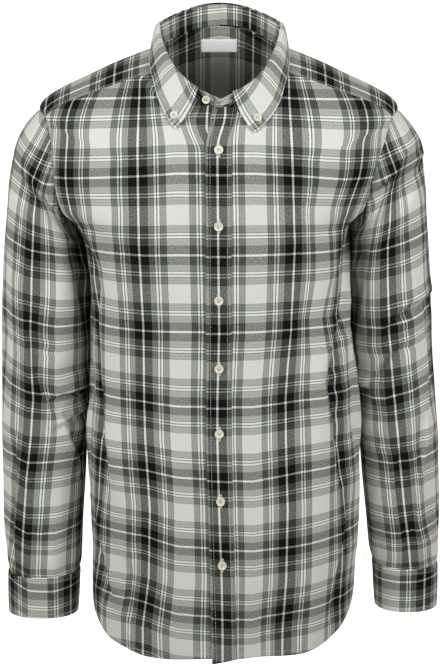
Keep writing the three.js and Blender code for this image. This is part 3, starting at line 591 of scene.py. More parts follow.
def shell(name, outer, normal, thick, cut, material, ring=False):
    """A thin closed wall of cloth with rounded edges, from a grid of outer points. `cut` becomes its map."""
    rows, columns = outer.shape[:2]
    thick = np.broadcast_to(thick, (rows, columns))[..., None]
    inward = np.zeros(outer.shape)
    inward[0] += unit(outer[1] - outer[0])
    inward[-1] += unit(outer[-2] - outer[-1])
    if not ring:
        inward[:, 0] += unit(outer[:, 1] - outer[:, 0])
        inward[:, -1] += unit(outer[:, -2] - outer[:, -1])
    outer = outer + inward * SEAM_GAP / 2
    inner = outer - normal * thick
    rim = (outer + inner) / 2 - inward * np.minimum(thick, CLOTH) * RIM_BULGE
    index = np.arange(rows * columns).reshape(rows, columns)
    wide = np.concatenate([index, index[:, :1]], 1) if ring else index
    cells = [wide[:-1, :-1], wide[:-1, 1:], wide[1:, 1:], wide[1:, :-1]]
    top = np.stack(cells, -1).reshape(-1, 4)
    places = np.stack([cut[:-1, :-1], cut[:-1, 1:], cut[1:, 1:], cut[1:, :-1]], 2).reshape(-1, 4, 2)
    count = rows * columns
    faces, maps = [top, count + top[:, ::-1]], [places, places[:, ::-1]]
    if ring:
        loops = [list(zip([0] * (columns + 1), range(columns + 1))),
                 list(zip([rows - 1] * (columns + 1), range(columns, -1, -1)))]
    else:
        loop = [(0, j) for j in range(columns)] + [(i, columns - 1) for i in range(1, rows)]
        loop += [(rows - 1, j) for j in range(columns - 2, -1, -1)]
        loop += [(i, 0) for i in range(rows - 2, -1, -1)]
        loops = [loop]
    for loop in loops:
        for (i, j), (k, m) in zip(loop[:-1], loop[1:]):
            a, b = wide[i, j], wide[k, m]
            faces += [np.array([[b, a, 2 * count + a, 2 * count + b]])]
            faces += [np.array([[2 * count + b, 2 * count + a, count + a, count + b]])]
            maps += [np.array([[cut[k, m], cut[i, j], cut[i, j], cut[k, m]]])] * 2
    points = np.concatenate([outer.reshape(-1, 3), inner.reshape(-1, 3), rim.reshape(-1, 3)])
    faces, maps = np.concatenate(faces), np.concatenate(maps)
    a, b, c = (points[faces[:, k]] for k in range(3))
    d = points[faces[:, 3]]
    volume = (a * np.cross(b, c)).sum() + (a * np.cross(c, d)).sum()
    if volume < 0:
        faces, maps = faces[:, ::-1], maps[:, ::-1]
    used = np.unique(faces)
    renumber = np.zeros(len(points), int)
    renumber[used] = np.arange(len(used))
    mesh = bpy.data.meshes.new(name)
    mesh.from_pydata((points[used] * MM).tolist(), [], renumber[faces].tolist())
    layer = mesh.uv_layers.new(name="cut")
    layer.data.foreach_set("uv", (maps * MM).astype(np.float32).ravel())
    mesh.shade_smooth()
    mesh.materials.append(material)
    return add_object(name, mesh)


def place_cloth(piece, node):
    """A sheet of cloth takes its node's place."""
    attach(piece, "root")
    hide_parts(node)


# Brushed cotton flannel: yarn-dyed in white, off-white, sage and black, woven as a warp-faced twill and
# raised on both faces. The eye gets soft matt bands that mix where they cross, faint twill and pale fuzz.
WHITE_YARN = 0xE9E9E3
OFF_WHITE_YARN = 0xD3D5CB
SAGE_YARN = 0x71786B
BLACK_YARN = 0x0B0C0B
SHADE_YARN = 0x363932
# Half of each repeat, from the middle of the white line to the middle of the off-white block: width, yarn.
WARP_BANDS = [
    (1.1, WHITE_YARN), (9.5, BLACK_YARN), (2.8, SAGE_YARN), (0.4, SHADE_YARN), (2.8, SAGE_YARN),
    (0.7, BLACK_YARN), (2.2, WHITE_YARN), (1.4, SHADE_YARN), (2.2, WHITE_YARN), (0.7, BLACK_YARN),
    (2.8, SAGE_YARN), (0.4, SHADE_YARN), (2.8, SAGE_YARN), (0.7, SHADE_YARN), (12.5, OFF_WHITE_YARN),
]
WEFT_BANDS = [
    (1.1, WHITE_YARN), (9.9, BLACK_YARN), (3.2, SAGE_YARN), (0.4, SHADE_YARN), (3.3, SAGE_YARN),
    (0.7, BLACK_YARN), (2.2, WHITE_YARN), (1.4, SHADE_YARN), (2.2, WHITE_YARN), (0.7, BLACK_YARN),
    (3.2, SAGE_YARN), (0.4, SHADE_YARN), (3.3, SAGE_YARN), (0.7, SHADE_YARN), (11.3, OFF_WHITE_YARN),
]
WARP_SHARE = 0.57
SLUB_WAVER = 0.14
EYE_GAMMA = 2.2
TWILL_RIB = 0.0011
NAP_FUZZ = 0.0007


def bands_of(tree, place, repeat, bands):
    """The yarn colour at one place along a repeat that mirrors at both ends."""
    half = repeat / 2 * MM
    folded = add_node(tree, "ShaderNodeMath", {"operation": "PINGPONG"}, n0=place, n1=half)
    share = add_node(tree, "ShaderNodeMath", {"operation": "DIVIDE"}, n0=folded.outputs[0], n1=half)
    ramp = add_node(tree, "ShaderNodeValToRGB", {}, Fac=share.outputs[0])
    ramp.color_ramp.interpolation = "CONSTANT"
    total = sum(width for width, _ in bands)
    start = 0
    for number, (width, colour) in enumerate(bands):
        if number < 2:
            stop = ramp.color_ramp.elements[number]
            stop.position = start / total
        else:
            stop = ramp.color_ramp.elements.new(start / total)
        stop.color = linear(colour)
        start += width
    return ramp.outputs["Color"]


def flannel_material(name):
    material, tree, surface = new_material(name, Roughness=0.92, Specular_IOR_Level=0.12, Sheen_Weight=0.025,
                                           Sheen_Roughness=0.55)
    cut = add_node(tree, "ShaderNodeUVMap", {"uv_map": "cut"})
    fuzz = add_node(tree, "ShaderNodeTexNoise", {"noise_dimensions": "3D"}, Vector=cut.outputs[0],
                    Scale=900.0, Detail=2.0, Roughness=0.6)
    centred = add_node(tree, "ShaderNodeVectorMath", {"operation": "SUBTRACT"}, n0=fuzz.outputs["Color"],
                       n1=(0.5, 0.5, 0.5))
    spread = add_node(tree, "ShaderNodeVectorMath", {"operation": "SCALE"}, n0=centred.outputs[0],
                      Scale=NAP_FUZZ)
    soft = add_node(tree, "ShaderNodeVectorMath", {"operation": "ADD"}, n0=cut.outputs[0],
                    n1=spread.outputs[0])
    place = add_node(tree, "ShaderNodeSeparateXYZ", {}, Vector=soft.outputs[0])
    warp = bands_of(tree, place.outputs["X"], WARP_REPEAT, WARP_BANDS)
    weft = bands_of(tree, place.outputs["Y"], WEFT_REPEAT, WEFT_BANDS)
    # Twill ribs run up to the right. They are finer in the cloth and drawn a little coarse, so they show.
    slant = add_node(tree, "ShaderNodeMath", {"operation": "ADD"}, n0=place.outputs["X"],
                     n1=place.outputs["Y"])
    turns = add_node(tree, "ShaderNodeMath", {"operation": "MULTIPLY"}, n0=slant.outputs[0],
                     n1=2 * math.pi / TWILL_RIB)
    rib = add_node(tree, "ShaderNodeMath", {"operation": "SINE"}, n0=turns.outputs[0])
    # Slubs: each yarn is a little thick and thin along its length, so the mix of the two wavers.
    stretched = add_node(tree, "ShaderNodeVectorMath", {"operation": "MULTIPLY"}, n0=cut.outputs[0],
                         n1=(900.0, 500.0, 1.0))
    slub = add_node(tree, "ShaderNodeTexNoise", {"noise_dimensions": "2D"}, Vector=stretched.outputs[0],
                    Scale=1.0, Detail=2.0, Roughness=0.6)
    wavering = add_node(tree, "ShaderNodeMapRange", {}, Value=slub.outputs["Fac"], From_Min=0.3,
                        From_Max=0.7, To_Min=1 - WARP_SHARE - SLUB_WAVER, To_Max=1 - WARP_SHARE + SLUB_WAVER)
    share = add_node(tree, "ShaderNodeMath", {"operation": "MULTIPLY_ADD"}, n0=rib.outputs[0], n1=0.02,
                     n2=wavering.outputs[0])
    # The raised fibres of both yarns lie over each other, so the eye mixes the colours as it sees them.
    seen_warp = add_node(tree, "ShaderNodeGamma", {}, Color=warp, Gamma=1 / EYE_GAMMA)
    seen_weft = add_node(tree, "ShaderNodeGamma", {}, Color=weft, Gamma=1 / EYE_GAMMA)
    mixed = add_node(tree, "ShaderNodeMix", {"data_type": "RGBA"}, n0=share.outputs[0],
                     n6=seen_warp.outputs[0], n7=seen_weft.outputs[0])
    lit = add_node(tree, "ShaderNodeGamma", {}, Color=mixed.outputs[2], Gamma=EYE_GAMMA)
    # Nap: short raised fibres, felted into soft clumps under a millimetre across.
    nap = add_node(tree, "ShaderNodeTexNoise", {"noise_dimensions": "3D"}, Vector=cut.outputs[0],
                   Scale=1400.0, Detail=3.0, Roughness=0.7)
    height = add_node(tree, "ShaderNodeMath", {"operation": "MULTIPLY_ADD"}, n0=rib.outputs[0], n1=0.25,
                      n2=nap.outputs["Fac"])
    bump = add_node(tree, "ShaderNodeBump", {}, Strength=0.35, Distance=0.0003, Height=height.outputs[0])
    tree.links.new(lit.outputs[0], surface.inputs["Base Color"])
    tree.links.new(bump.outputs[0], surface.inputs["Normal"])
    return material


flannel = flannel_material("brushed_check_flannel")

# Sewing thread: spun polyester in pale grey green, lockstitched. Short bright grains that sit in the cloth.
THREAD_PALE = 0xC9CCC2
THREAD_RADIUS = 0.2
STITCH_LONG = 2.6
STITCH_STEP = 3.4
STITCH_SIDES = 5

thread, tree, surface = new_material("spun_polyester_thread", Base_Color=linear(THREAD_PALE), Roughness=0.6)
coordinates = add_node(tree, "ShaderNodeTexCoord")
plies = add_node(tree, "ShaderNodeTexWave", {"wave_type": "BANDS", "bands_direction": "DIAGONAL"},
                 Vector=coordinates.outputs["Object"], Scale=900.0)
ply_bump = add_node(tree, "ShaderNodeBump", {}, Strength=0.3, Distance=0.0001,
                    Height=plies.outputs["Fac"])
tree.links.new(ply_bump.outputs[0], surface.inputs["Normal"])


def mesh_piece(name, points, faces, material):
    """A plain piece from millimetre points and faces."""
    mesh = bpy.data.meshes.new(name)
    mesh.from_pydata((np.asarray(points) * MM).tolist(), [], [list(face) for face in faces])
    mesh.shade_smooth()
    mesh.materials.append(material)
    piece = add_object(name, mesh)
    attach(piece, "root")
    return piece


def tube_faces(first, rings, sides, flip=False):
    """Faces of a tube with closed ends, whose rings of points start at number `first`."""
    faces = []
    for ring in range(rings - 1):
        for k in range(sides):
            a = first + ring * sides + k
            b = first + ring * sides + (k + 1) % sides
            faces.append((a, a + sides, b + sides, b) if flip else (a, b, b + sides, a + sides))
    start, end = (tuple(range(first + ring * sides, first + (ring + 1) * sides)) for ring in (0, rings - 1))
    return faces + ([start, end[::-1]] if flip else [start[::-1], end])


def sew(name, lines):
    """Rows of lockstitches. Each line is its points and the cloth's outward direction at them."""
    points, faces = [], []
    turns = np.linspace(0, 2 * math.pi, STITCH_SIDES, endpoint=False)
    for path, normal in lines:
        length = np.concatenate([[0], np.cumsum(np.linalg.norm(np.diff(path, axis=0), axis=1))])

        def at(values, place):
            return np.stack([np.interp(place, length, values[:, k]) for k in range(3)], -1)

        for start in np.arange(STITCH_STEP / 2, length[-1] - STITCH_LONG, STITCH_STEP):
            places = start + STITCH_LONG * np.array([0, 0.2, 0.8, 1])
            centre, up = at(path, places), unit(at(normal, places))
            run = unit(centre[-1:] - centre[:1])
            side = unit(np.cross(run, up))
            centre = centre + up * (THREAD_RADIUS * np.array([-0.6, 0.7, 0.7, -0.6]))[:, None]
            radius = THREAD_RADIUS * np.array([0.6, 1, 1, 0.6])
            first = len(points)
            for c, u, s, r in zip(centre, up, side, radius):
                points.extend(c + r * (u * math.cos(t) + s * math.sin(t)) for t in turns)
            faces += tube_faces(first, len(centre), STITCH_SIDES, flip=True)
    return mesh_piece(name, points, faces, thread)


def inset(points, normal, edge, distance):
    """The line on a grid that runs at one distance from an edge, with the cloth's direction along it."""
    away = edge_distance(points, edge)
    if edge.endswith("row"):
        away, points, normal = away.T, points.transpose(1, 0, 2), normal.transpose(1, 0, 2)
    line, up = [], []
    for row, spots, ups in zip(away, points, normal):
        order = np.argsort(row)
        line.append([np.interp(distance, row[order], spots[order, k]) for k in range(3)])
        up.append([np.interp(distance, row[order], ups[order, k]) for k in range(3)])
    return np.array(line), unit(np.array(up))


# Right front: one panel from the hem to the neckline, its opening edge turned under the placket. It is
# joined to the back at the side seam, to the sleeve at the armhole and to the yoke over the shoulder.
LOW_ROWS = 130
ARM_ROWS = 34
YOKE_ROWS = 22
FRONT_COLUMNS = 66
UNDER_COLUMNS = 12
# Rows lie closer together near the hem, where the fold's edge has to show.
low_shares = np.linspace(0, 1, LOW_ROWS)
low_shares = low_shares - 0.5 / (2 * math.pi) * np.sin(2 * math.pi * np.minimum(low_shares * 4, 1)) / 4
arm_shares = np.linspace(0, 1, ARM_ROWS)[1:]
yoke_shares = np.linspace(0, 1, YOKE_ROWS)[1:]
centre_levels = np.concatenate([
    hem_at(0.0) + (CHEST - hem_at(0.0)) * low_shares,
    CHEST + (YOKE_LEVEL - CHEST) * arm_shares,
    YOKE_LEVEL + (NECK - YOKE_LEVEL) * yoke_shares,
])
yoke_levels = YOKE_LEVEL + (NECK - YOKE_LEVEL) * yoke_shares
seam_angles, seam_levels = armhole(arm_shares * FRONT_SEAM)
shoulder_angles = along(YOKE_FRONT, "level", "angle", yoke_levels)
edge_angles = np.concatenate([np.full(LOW_ROWS, 90.0), seam_angles, shoulder_angles])
edge_levels = np.concatenate([np.full(LOW_ROWS, float(CHEST)), seam_levels, yoke_levels])


def front_places(side, near):
    """The angle and level of each point of a front. `near` are the columns beside the opening."""
    levels = centre_levels[:, None]
    near_angles = placket_angle(np.asarray(near, float)[None, :], levels)
    shares = eased(FRONT_COLUMNS)[None, 1:]
    start = near_angles[:, -1:]
    angles = start + (side * edge_angles[:, None] - start) * shares
    ruled = levels + (edge_levels[:, None] - levels) * shares
    hem = hem_at(angles)
    low = np.concatenate([low_shares, np.ones(len(centre_levels) - LOW_ROWS)])[:, None]
    hung = hem + (CHEST - hem) * low
    is_low = (np.arange(len(centre_levels)) < LOW_ROWS)[:, None]
    spread = np.where(is_low, hung, ruled)
    return np.concatenate([near_angles, angles], 1), np.concatenate([levels + 0 * near_angles, spread], 1)


right_angles, right_levels = front_places(-1, np.linspace(UNDER_EDGE, 0, UNDER_COLUMNS))
right_points = torso(right_angles, right_levels)
right_normal = grid_normal(right_points, BODY_MIDDLE)
right_thick = hemmed(right_points, "first_row")
right_cut = front_cut(right_points)
right_outer = dipped(right_points, right_normal, ["last_column"])
front_right = shell("front_right_panel", right_outer, right_normal, right_thick, right_cut, flannel)
place_cloth(front_right, "front_right")

# Left front: the same panel mirrored, a little proud near the opening where it lies over the right one.
LEFT_RISE_FROM = 14
LEFT_RISE_TO = 70


def left_front(angle, level):
    """The body's form under the left front, raised near the opening."""
    rise = OVERLAP * (1 - ease(ring_point(angle, level)[..., 0], LEFT_RISE_FROM, LEFT_RISE_TO))
    return torso(angle, level) + torso_normal(angle, level) * rise[..., None]


left_angles, left_levels = front_places(1, [PLACKET_WIDTH])
left_points = left_front(left_angles, left_levels)
left_normal = grid_normal(left_points, BODY_MIDDLE)
left_thick = hemmed(left_points, "first_row")
left_cut = front_cut(left_points)
left_outer = dipped(left_points, left_normal, ["last_column", "first_column"])
front_left = shell("front_left_panel", left_outer, left_normal, left_thick, left_cut, flannel)
place_cloth(front_left, "front_left")

# Placket: a strip of the same cloth folded to two layers down the left front's edge. It is stitched at both
# edges, and the check's white line runs down its middle through the buttons.
PLACKET_COLUMNS = 15
PLACKET_STITCH = 5.0
DROP_ROWS = 8
# Near the neck the strip's own middle line moves over too, and its weft sits a little above the front's.
PLACKET_LEAN, PLACKET_LEAN_FROM, PLACKET_LEAN_TO = 9, -146, -106
PLACKET_WEFT_UP = 1.5
PLACKET_PUFF = 0.5
across = np.linspace(0, PLACKET_WIDTH, PLACKET_COLUMNS)[None, :]
placket_levels = centre_levels[:, None] + 0 * across
drop = (PLACKET_DROP * (1 - across / PLACKET_WIDTH)) * (1 - np.arange(DROP_ROWS) / DROP_ROWS)[:, None]
placket_levels[:DROP_ROWS] -= drop
placket_angles = placket_angle(across, placket_levels)
placket_points = torso(placket_angles, placket_levels)
placket_points = placket_points + torso_normal(placket_angles, placket_levels) * OVERLAP
placket_normal = grid_normal(placket_points, BODY_MIDDLE)
placket_x, placket_z = placket_points[..., 0], placket_points[..., 2]
middle_x = np.interp(placket_z, FRONT_WARP["z"], FRONT_WARP["middle"])
middle_x = middle_x + PLACKET_LEAN * ease(placket_z, PLACKET_LEAN_FROM, PLACKET_LEAN_TO)
placket_weft = weft_place(FRONT_WEFT, placket_x, "x", placket_z + PLACKET_WEFT_UP)
placket_cut = np.stack([placket_x - middle_x, placket_weft], -1)
puff = np.sin(math.pi * np.linspace(0, 1, PLACKET_COLUMNS))[None, :, None]
puffed_points = placket_points + placket_normal * PLACKET_PUFF * puff
placket_outer = dipped(puffed_points, placket_normal, ["last_column"])
placket = shell("placket_strip", placket_outer, placket_normal, OVERLAP - SEAM_GAP, placket_cut, flannel)
place_cloth(placket, "placket")
sew("stitches_placket", [
    inset(placket_outer, placket_normal, "first_column", PLACKET_STITCH),
    inset(placket_outer, placket_normal, "last_column", PLACKET_STITCH),
    inset(right_outer, right_normal, "first_row", HEM_FOLD - 1),
    inset(left_outer, left_normal, "first_row", HEM_FOLD - 1),
])

# Back: one wide panel below the yoke, with the curved tail of the hem. Its check is balanced on the centre
# back, and both armhole seams are topstitched from the front.
ARM_STITCH = 6.0
BACK_COLUMNS = 75
BACK_ARM_ROWS = 36
back_shares = eased(BACK_COLUMNS, 0.35)[None, :]
back_low = low_shares[:, None]
half_turn = 180 + (90 - 180) * back_shares
low_hem = hem_at(half_turn)
low_turns = np.repeat(half_turn, LOW_ROWS, 0)
arm_at = np.linspace(LAST_SEAM, BACK_SEAM, BACK_ARM_ROWS)[1:, None]
rise = np.linspace(0, 1, BACK_ARM_ROWS)[1:, None]
arm_angle, arm_edge = armhole(arm_at)
arm_turns = 180 + (arm_angle - 180) * back_shares
arm_middle = CHEST + (YOKE_BACK_CENTRE - CHEST) * rise
arm_levels = arm_edge + (arm_middle - arm_edge) * np.cos(math.pi / 2 * back_shares)
left_turns = np.concatenate([low_turns, arm_turns])


def back_levels(hem):
    """The levels of one half of the back, from the hem's height up."""
    return np.concatenate([hem + (CHEST - hem) * back_low, arm_levels])


back_angles = np.concatenate([left_turns[:, ::-1], 360 - left_turns[:, 1:]], 1)
right_heights = back_levels(hem_at(360 - half_turn))
back_heights = np.concatenate([back_levels(low_hem)[:, ::-1], right_heights[:, 1:]], 1)
back_points = torso(back_angles, back_heights)
back_normal = grid_normal(back_points, BODY_MIDDLE)
back_arc = arc(back_points)
back_warp = back_arc - back_arc[:, BACK_COLUMNS - 1:BACK_COLUMNS] + WARP_REPEAT / 2
back_weft = weft_place(FRONT_WEFT, back_points[..., 0], "x", back_points[..., 2])
back_cut = np.stack([back_warp, back_weft], -1)
back_outer = dipped(back_points, back_normal, ["first_column", "last_column", "last_row"])
back = shell("back_panel", back_outer, back_normal, hemmed(back_points, "first_row"), back_cut, flannel)
place_cloth(back, "back")
arm_rows = slice(LOW_ROWS + 1, LOW_ROWS + ARM_ROWS - 2)
arm_lines = [
    inset(outer, normal, "last_column", ARM_STITCH)
    for outer, normal in ((right_outer, right_normal), (left_outer, left_normal))
]
sew("stitches_armholes", [(path[arm_rows], up[arm_rows]) for path, up in arm_lines])
sew("stitches_back", [inset(back_outer, back_normal, "first_row", HEM_FOLD - 1)])

# Yoke: two layers of cloth over the shoulders, cut in two halves that mirror at the centre back. Its check
# runs square to the front shoulder seams, and both seams are topstitched.
YOKE_DEEP = 26
YOKE_TOP = 28
YOKE_BACK = 60
YOKE_STITCH = 2.0
# Where the check starts at the neck end of each shoulder seam: along the seam, and back from a weft line.
YOKE_WARP_FROM = 14
YOKE_WEFT_BACK = 8
top_at = np.linspace(FRONT_SEAM, BACK_SEAM, YOKE_TOP)
back_seam_share = np.linspace(1, 0, YOKE_BACK)[1:]
seam_angle, seam_level = armhole(float(BACK_SEAM))
seam_turns = 180 + (seam_angle - 180) * back_seam_share
seam_levels = seam_level + (YOKE_BACK_CENTRE - seam_level) * np.sin(math.pi / 2 * (1 - back_seam_share))
top_angles, top_levels = armhole(top_at)
half_angles = np.concatenate([top_angles, seam_turns])
half_levels = np.concatenate([top_levels, seam_levels])
outer_angles = np.concatenate([half_angles, 360 - half_angles[-2::-1]])
outer_levels = np.concatenate([half_levels, half_levels[-2::-1]])
neck_from = along(YOKE_FRONT, "level", "angle", float(NECK))
neck_angles = np.linspace(neck_from, 360 - neck_from, len(outer_angles))
share = eased(YOKE_DEEP)[:, None]
yoke_angles = outer_angles + (neck_angles - outer_angles) * share
yoke_levels_grid = outer_levels + (NECK - outer_levels) * share
front_seam_level = YOKE_LEVEL + (NECK - YOKE_LEVEL) * share[:, 0]
front_seam = along(YOKE_FRONT, "level", "angle", front_seam_level)
yoke_angles[:, 0], yoke_angles[:, -1] = front_seam, 360 - front_seam
yoke_levels_grid[:, 0] = yoke_levels_grid[:, -1] = front_seam_level
yoke_points = torso(yoke_angles, yoke_levels_grid)
yoke_normal = grid_normal(yoke_points, BODY_MIDDLE)
columns = yoke_points.shape[1]
halfway = columns // 2
yoke_cut = np.zeros(yoke_points.shape[:2] + (2,))
for side, part in ((1, slice(0, halfway + 1)), (-1, slice(halfway, columns))):
    seam = yoke_points[:, 0 if side > 0 else -1]
    outer_end, neck_end = seam[0], seam[-1]
    reach = outer_end - neck_end
    run = unit(reach[None, :2])[0]
    square = np.array([-run[1], run[0]]) * side
    flat = yoke_points[:, part, :2] - neck_end[:2]
    slope = np.linalg.norm(reach) / np.linalg.norm(reach[:2])
    yoke_cut[:, part, 0] = flat @ run * slope + YOKE_WARP_FROM
    yoke_cut[:, part, 1] = flat @ square + WEFT_REPEAT - YOKE_WEFT_BACK
yoke_outer = dipped(yoke_points, yoke_normal, ["first_row", "first_column", "last_column", "last_row"])
yoke = shell("yoke_panel", yoke_outer, yoke_normal, CLOTH, yoke_cut, flannel)
place_cloth(yoke, "yoke")
sew("stitches_yoke", [
    inset(yoke_outer, yoke_normal, "first_column", YOKE_STITCH),
    inset(yoke_outer, yoke_normal, "last_column", YOKE_STITCH),
    inset(yoke_outer, yoke_normal, "first_row", YOKE_STITCH),
])

# Sleeves: each one piece, closed along the underarm and set into the armhole. The cap folds over itself at
# the front, the elbow creases, and the lower end is gathered into the cuff.
SLEEVE_COLUMNS = "down outX outZ inX inZ midY deep"
SLEEVE_RIGHT = table(SLEEVE_COLUMNS, [
    (0, 211, -105, 168, -240, 0, 66), (26, 228, -123, 167.4, -247, 0, 67),
    (54, 241, -149, 162.6, -258, 0, 68), (92, 248, -187, 157.8, -275, 1, 68),
    (140, 253, -235, 155, -298, 2, 67), (210, 259, -305, 153.8, -340, 4, 64),
    (300, 262.5, -395, 156, -410, 7, 59), (400, 264, -495, 161, -500, 4, 53),
    (500, 263.5, -595, 167, -597, -3, 47), (545, 261, -640, 170, -641, -6, 43),
    (570, 258, -664, 172, -663, -8, 38), (623, 258, -713, 175, -714, -10, 38),
])
SLEEVE_LEFT = table(SLEEVE_COLUMNS, [
    (0, 208, -105, 153, -240, 0, 66), (26, 224, -123, 154.2, -247, 0, 67),
    (54, 236, -149, 153.6, -258, 0, 68), (92, 242, -187, 153, -275, 1, 68),
    (140, 245, -235, 153.2, -298, 2, 67), (210, 251, -305, 155.3, -340, 4, 64),
    (300, 256, -395, 159.8, -410, 7, 59), (400, 264, -495, 169, -500, 4, 53),
    (500, 267, -590, 178, -591, -3, 47), (545, 267, -631, 183, -631, -6, 43),
    (570, 265, -653, 187, -652, -8, 38), (623, 265, -705, 191, -706, -10, 38),
])
CUFF_SEAM = 570
CUFF_END = 623
# Folds by the angle round the sleeve and the length down. Angle 0 is the outer side, 90 the front and 180
# the inner side.
SLEEVE_FOLDS = table(FOLD_COLUMNS, [
    (12, 62, 140, 46, 13, 8),
    (40, 100, 125, 88, 16, -4),
    (122, 110, 70, 250, 16, 5),
    (34, 170, 26, 360, 13, 5),
    (150, 296, 82, 330, 13, 5),
    (168, 350, 100, 372, 12, 4),
    (60, 380, 48, 520, 12, 4),
    (290, 250, 235, 330, 16, 5),
    (305, 380, 300, 540, 13, 5),
])
SLEEVE_CREASES = table(FOLD_COLUMNS, [
    (20, 74, 128, 62, 5, 2.4),
    (60, 40, 150, 30, 8, -1.6),
    (150, 80, 120, 160, 7, 2.0),
    (100, 150, 84, 230, 8, 1.8),
    (16, 120, 22, 220, 7, 2.0),
    (60, 230, 70, 320, 8, -1.6),
    (110, 262, 60, 286, 7, 2.0),
    (140, 320, 62, 352, 6, 2.2),
    (160, 392, 90, 404, 7, 2.0),
    (40, 400, 66, 470, 7, 1.8),
    (110, 430, 100, 540, 8, 1.8),
    (24, 440, 30, 540, 7, 2.0),
    (80, 490, 78, 560, 6, 1.6),
    (130, 480, 140, 560, 7, 1.6),
    (230, 60, 320, 80, 9, 2.4),
    (250, 120, 300, 170, 9, 2.0),
    (220, 210, 300, 240, 9, 2.0),
    (210, 360, 280, 380, 8, 2.4),
    (330, 200, 338, 330, 9, 2.0),
    (240, 430, 250, 540, 8, 1.8),
    (330, 420, 336, 540, 8, 1.8),
])
SLEEVE_LAPS = {
    "right": [
        (24, 8.8, [(20, 74), (38, 70), (59, 72), (75, 70), (93, 56), (117, 29), (142, 4)]),
        (16, -5.6, [
            (64, 190), (67, 225), (71, 250), (75, 275), (83, 317), (93, 334), (102, 348), (111, 380),
        ]),
        (14, 6.4, [(96, 346), (104, 343), (120, 336), (141, 334), (168, 329), (186, 326)]),
        (14, 5.6, [(104, 384), (116, 376), (138, 368), (178, 358), (192, 354)]),
        (14, -4.8, [(118, 356), (125, 369), (135, 396), (151, 424), (156, 450)]),
        (14, 4.8, [(54, 385), (52, 405), (50, 449), (48, 498), (43, 560)]),
        (14, 4.8, [(220, 60), (260, 78), (300, 74), (340, 84)]),
        (14, -4.8, [(238, 240), (256, 280), (250, 340), (262, 400)]),
        (12, 4.0, [(290, 400), (296, 460), (290, 545)]),
    ],
    "left": [
        (24, 8.8, [
            (-12, 76), (-3, 70), (30, 64), (53, 58), (71, 47), (80, 40), (93, 27), (114, 4), (130, 0),
        ]),
        (14, 4.0, [(-12, 227), (30, 228), (68, 225), (90, 235), (104, 248), (109, 275)]),
        (14, 5.6, [(130, 345), (138, 333), (153, 319), (178, 302), (182, 268)]),
        (14, 4.8, [(70, 268), (77, 275), (99, 284), (118, 306), (139, 328), (180, 342)]),
        (14, 4.0, [(88, 380), (90, 394), (99, 426), (104, 460), (100, 493), (94, 527), (89, 565)]),
        (14, -5.6, [(54, 366), (55, 386), (58, 411), (69, 448), (75, 487), (78, 530)]),
        (12, 2.4, [(30, 268), (34, 290), (38, 329), (44, 380)]),
        (14, 4.8, [(220, 60), (260, 78), (300, 74), (340, 84)]),
        (14, -4.8, [(238, 240), (256, 280), (250, 340), (262, 400)]),
        (12, 4.0, [(290, 400), (296, 460), (290, 545)]),
    ],
}
# The shadowed hollow where each sleeve turns in under the arm.
SLEEVE_HOLLOW = table(FOLD_COLUMNS, [
    (134, 70, 140, 130, 12, 7),
    (138, 110, 146, 180, 12, 8),
    (144, 160, 158, 236, 12, 7),
    (186, 10, 190, 190, 15, -2.5),
])
CUFF_PLEAT_COUNT = 9
CUFF_PLEAT_DEEP = 1.6
CUFF_PLEAT_REACH = 60
CUFF_PLEAT_END = 14
CUFF_PLEAT_FLAT = 0.9
# The armhole's shape gives way to the sleeve's own over the first length, and the folds start in the second.
CAP_REACH = 110
CAP_PLAIN = 40
SLEEVE_SQUARE = 2.2
SLEEVE_WAVER = 0.3
SLEEVE_LONG = 200
SLEEVE_ROUND = 144
# The white lines on each sleeve: the warp line by height, and the weft lines by the share across the sleeve.
WARP_RIGHT = table("z x", [
    (-720, -238), (-655, -238), (-611, -236), (-538, -230), (-489, -224), (-441, -220), (-358, -222),
    (-265, -216), (-235, -214), (-206, -212), (-184, -215), (-149, -199), (-115, -184),
])
WARP_LEFT = table("z x", [
    (-720, 231), (-649, 229), (-611, 225), (-575, 220), (-465, 208), (-358, 197), (-311, 195), (-258, 193),
    (-220, 195), (-197, 198), (-178, 202), (-149, 192), (-115, 182),
])
WEFT_RIGHT = table("share line_h line_g line_f line_e line_d line_c line_b line_a line_top", [
    (0.00, -761, -675, -601, -517, -431, -355, -275, -216, -140),
    (0.33, -766, -680, -607, -519, -438, -355, -270, -197, -118),
    (0.66, -765, -679, -607, -520, -434, -349, -264, -180, -96),
    (1.00, -753, -667, -592, -508, -420, -337, -249, -158, -70),
])
WEFT_LEFT = table("share line_h line_g line_f line_e line_d line_c line_b line_a line_top", [
    (0.00, -753, -667, -607, -520, -444, -358, -271, -208, -136),
    (0.33, -754, -668, -607, -520, -442, -356, -265, -190, -114),
    (0.66, -753, -667, -603, -516, -433, -348, -255, -171, -92),
    (1.00, -749, -663, -596, -509, -419, -334, -244, -155, -68),
])


def sleeve_ring(rows, side, around, down):
    """A sleeve's plain form."""
    around, down = np.broadcast_arrays(np.asarray(around, float), np.asarray(down, float))
    names = SLEEVE_COLUMNS.split()[1:]
    out_x, out_z, in_x, in_z, mid_y, deep = (along(rows, "down", name, down) for name in names)
    c, s = np.cos(np.radians(around)), np.sin(np.radians(around))
    r = (np.abs(s) ** SLEEVE_SQUARE + np.abs(c) ** SLEEVE_SQUARE) ** (-1 / SLEEVE_SQUARE)
    x = (out_x + in_x) / 2 + (out_x - in_x) / 2 * r * c
    z = (out_z + in_z) / 2 + (out_z - in_z) / 2 * r * c
    return np.stack([side * x, mid_y - deep * r * s, z], -1)


def sleeve_middle(rows, side, down):
    """The line down the middle of a sleeve."""
    return (sleeve_ring(rows, side, 0, down) + sleeve_ring(rows, side, 180, down)) / 2


def around_of(at):
    """The angle round the sleeve at a place along the armhole seam."""
    half = LAST_SEAM / 2
    return np.where(at < half, 180 * (1 - at / half), 360 - 180 * (at / half - 1))


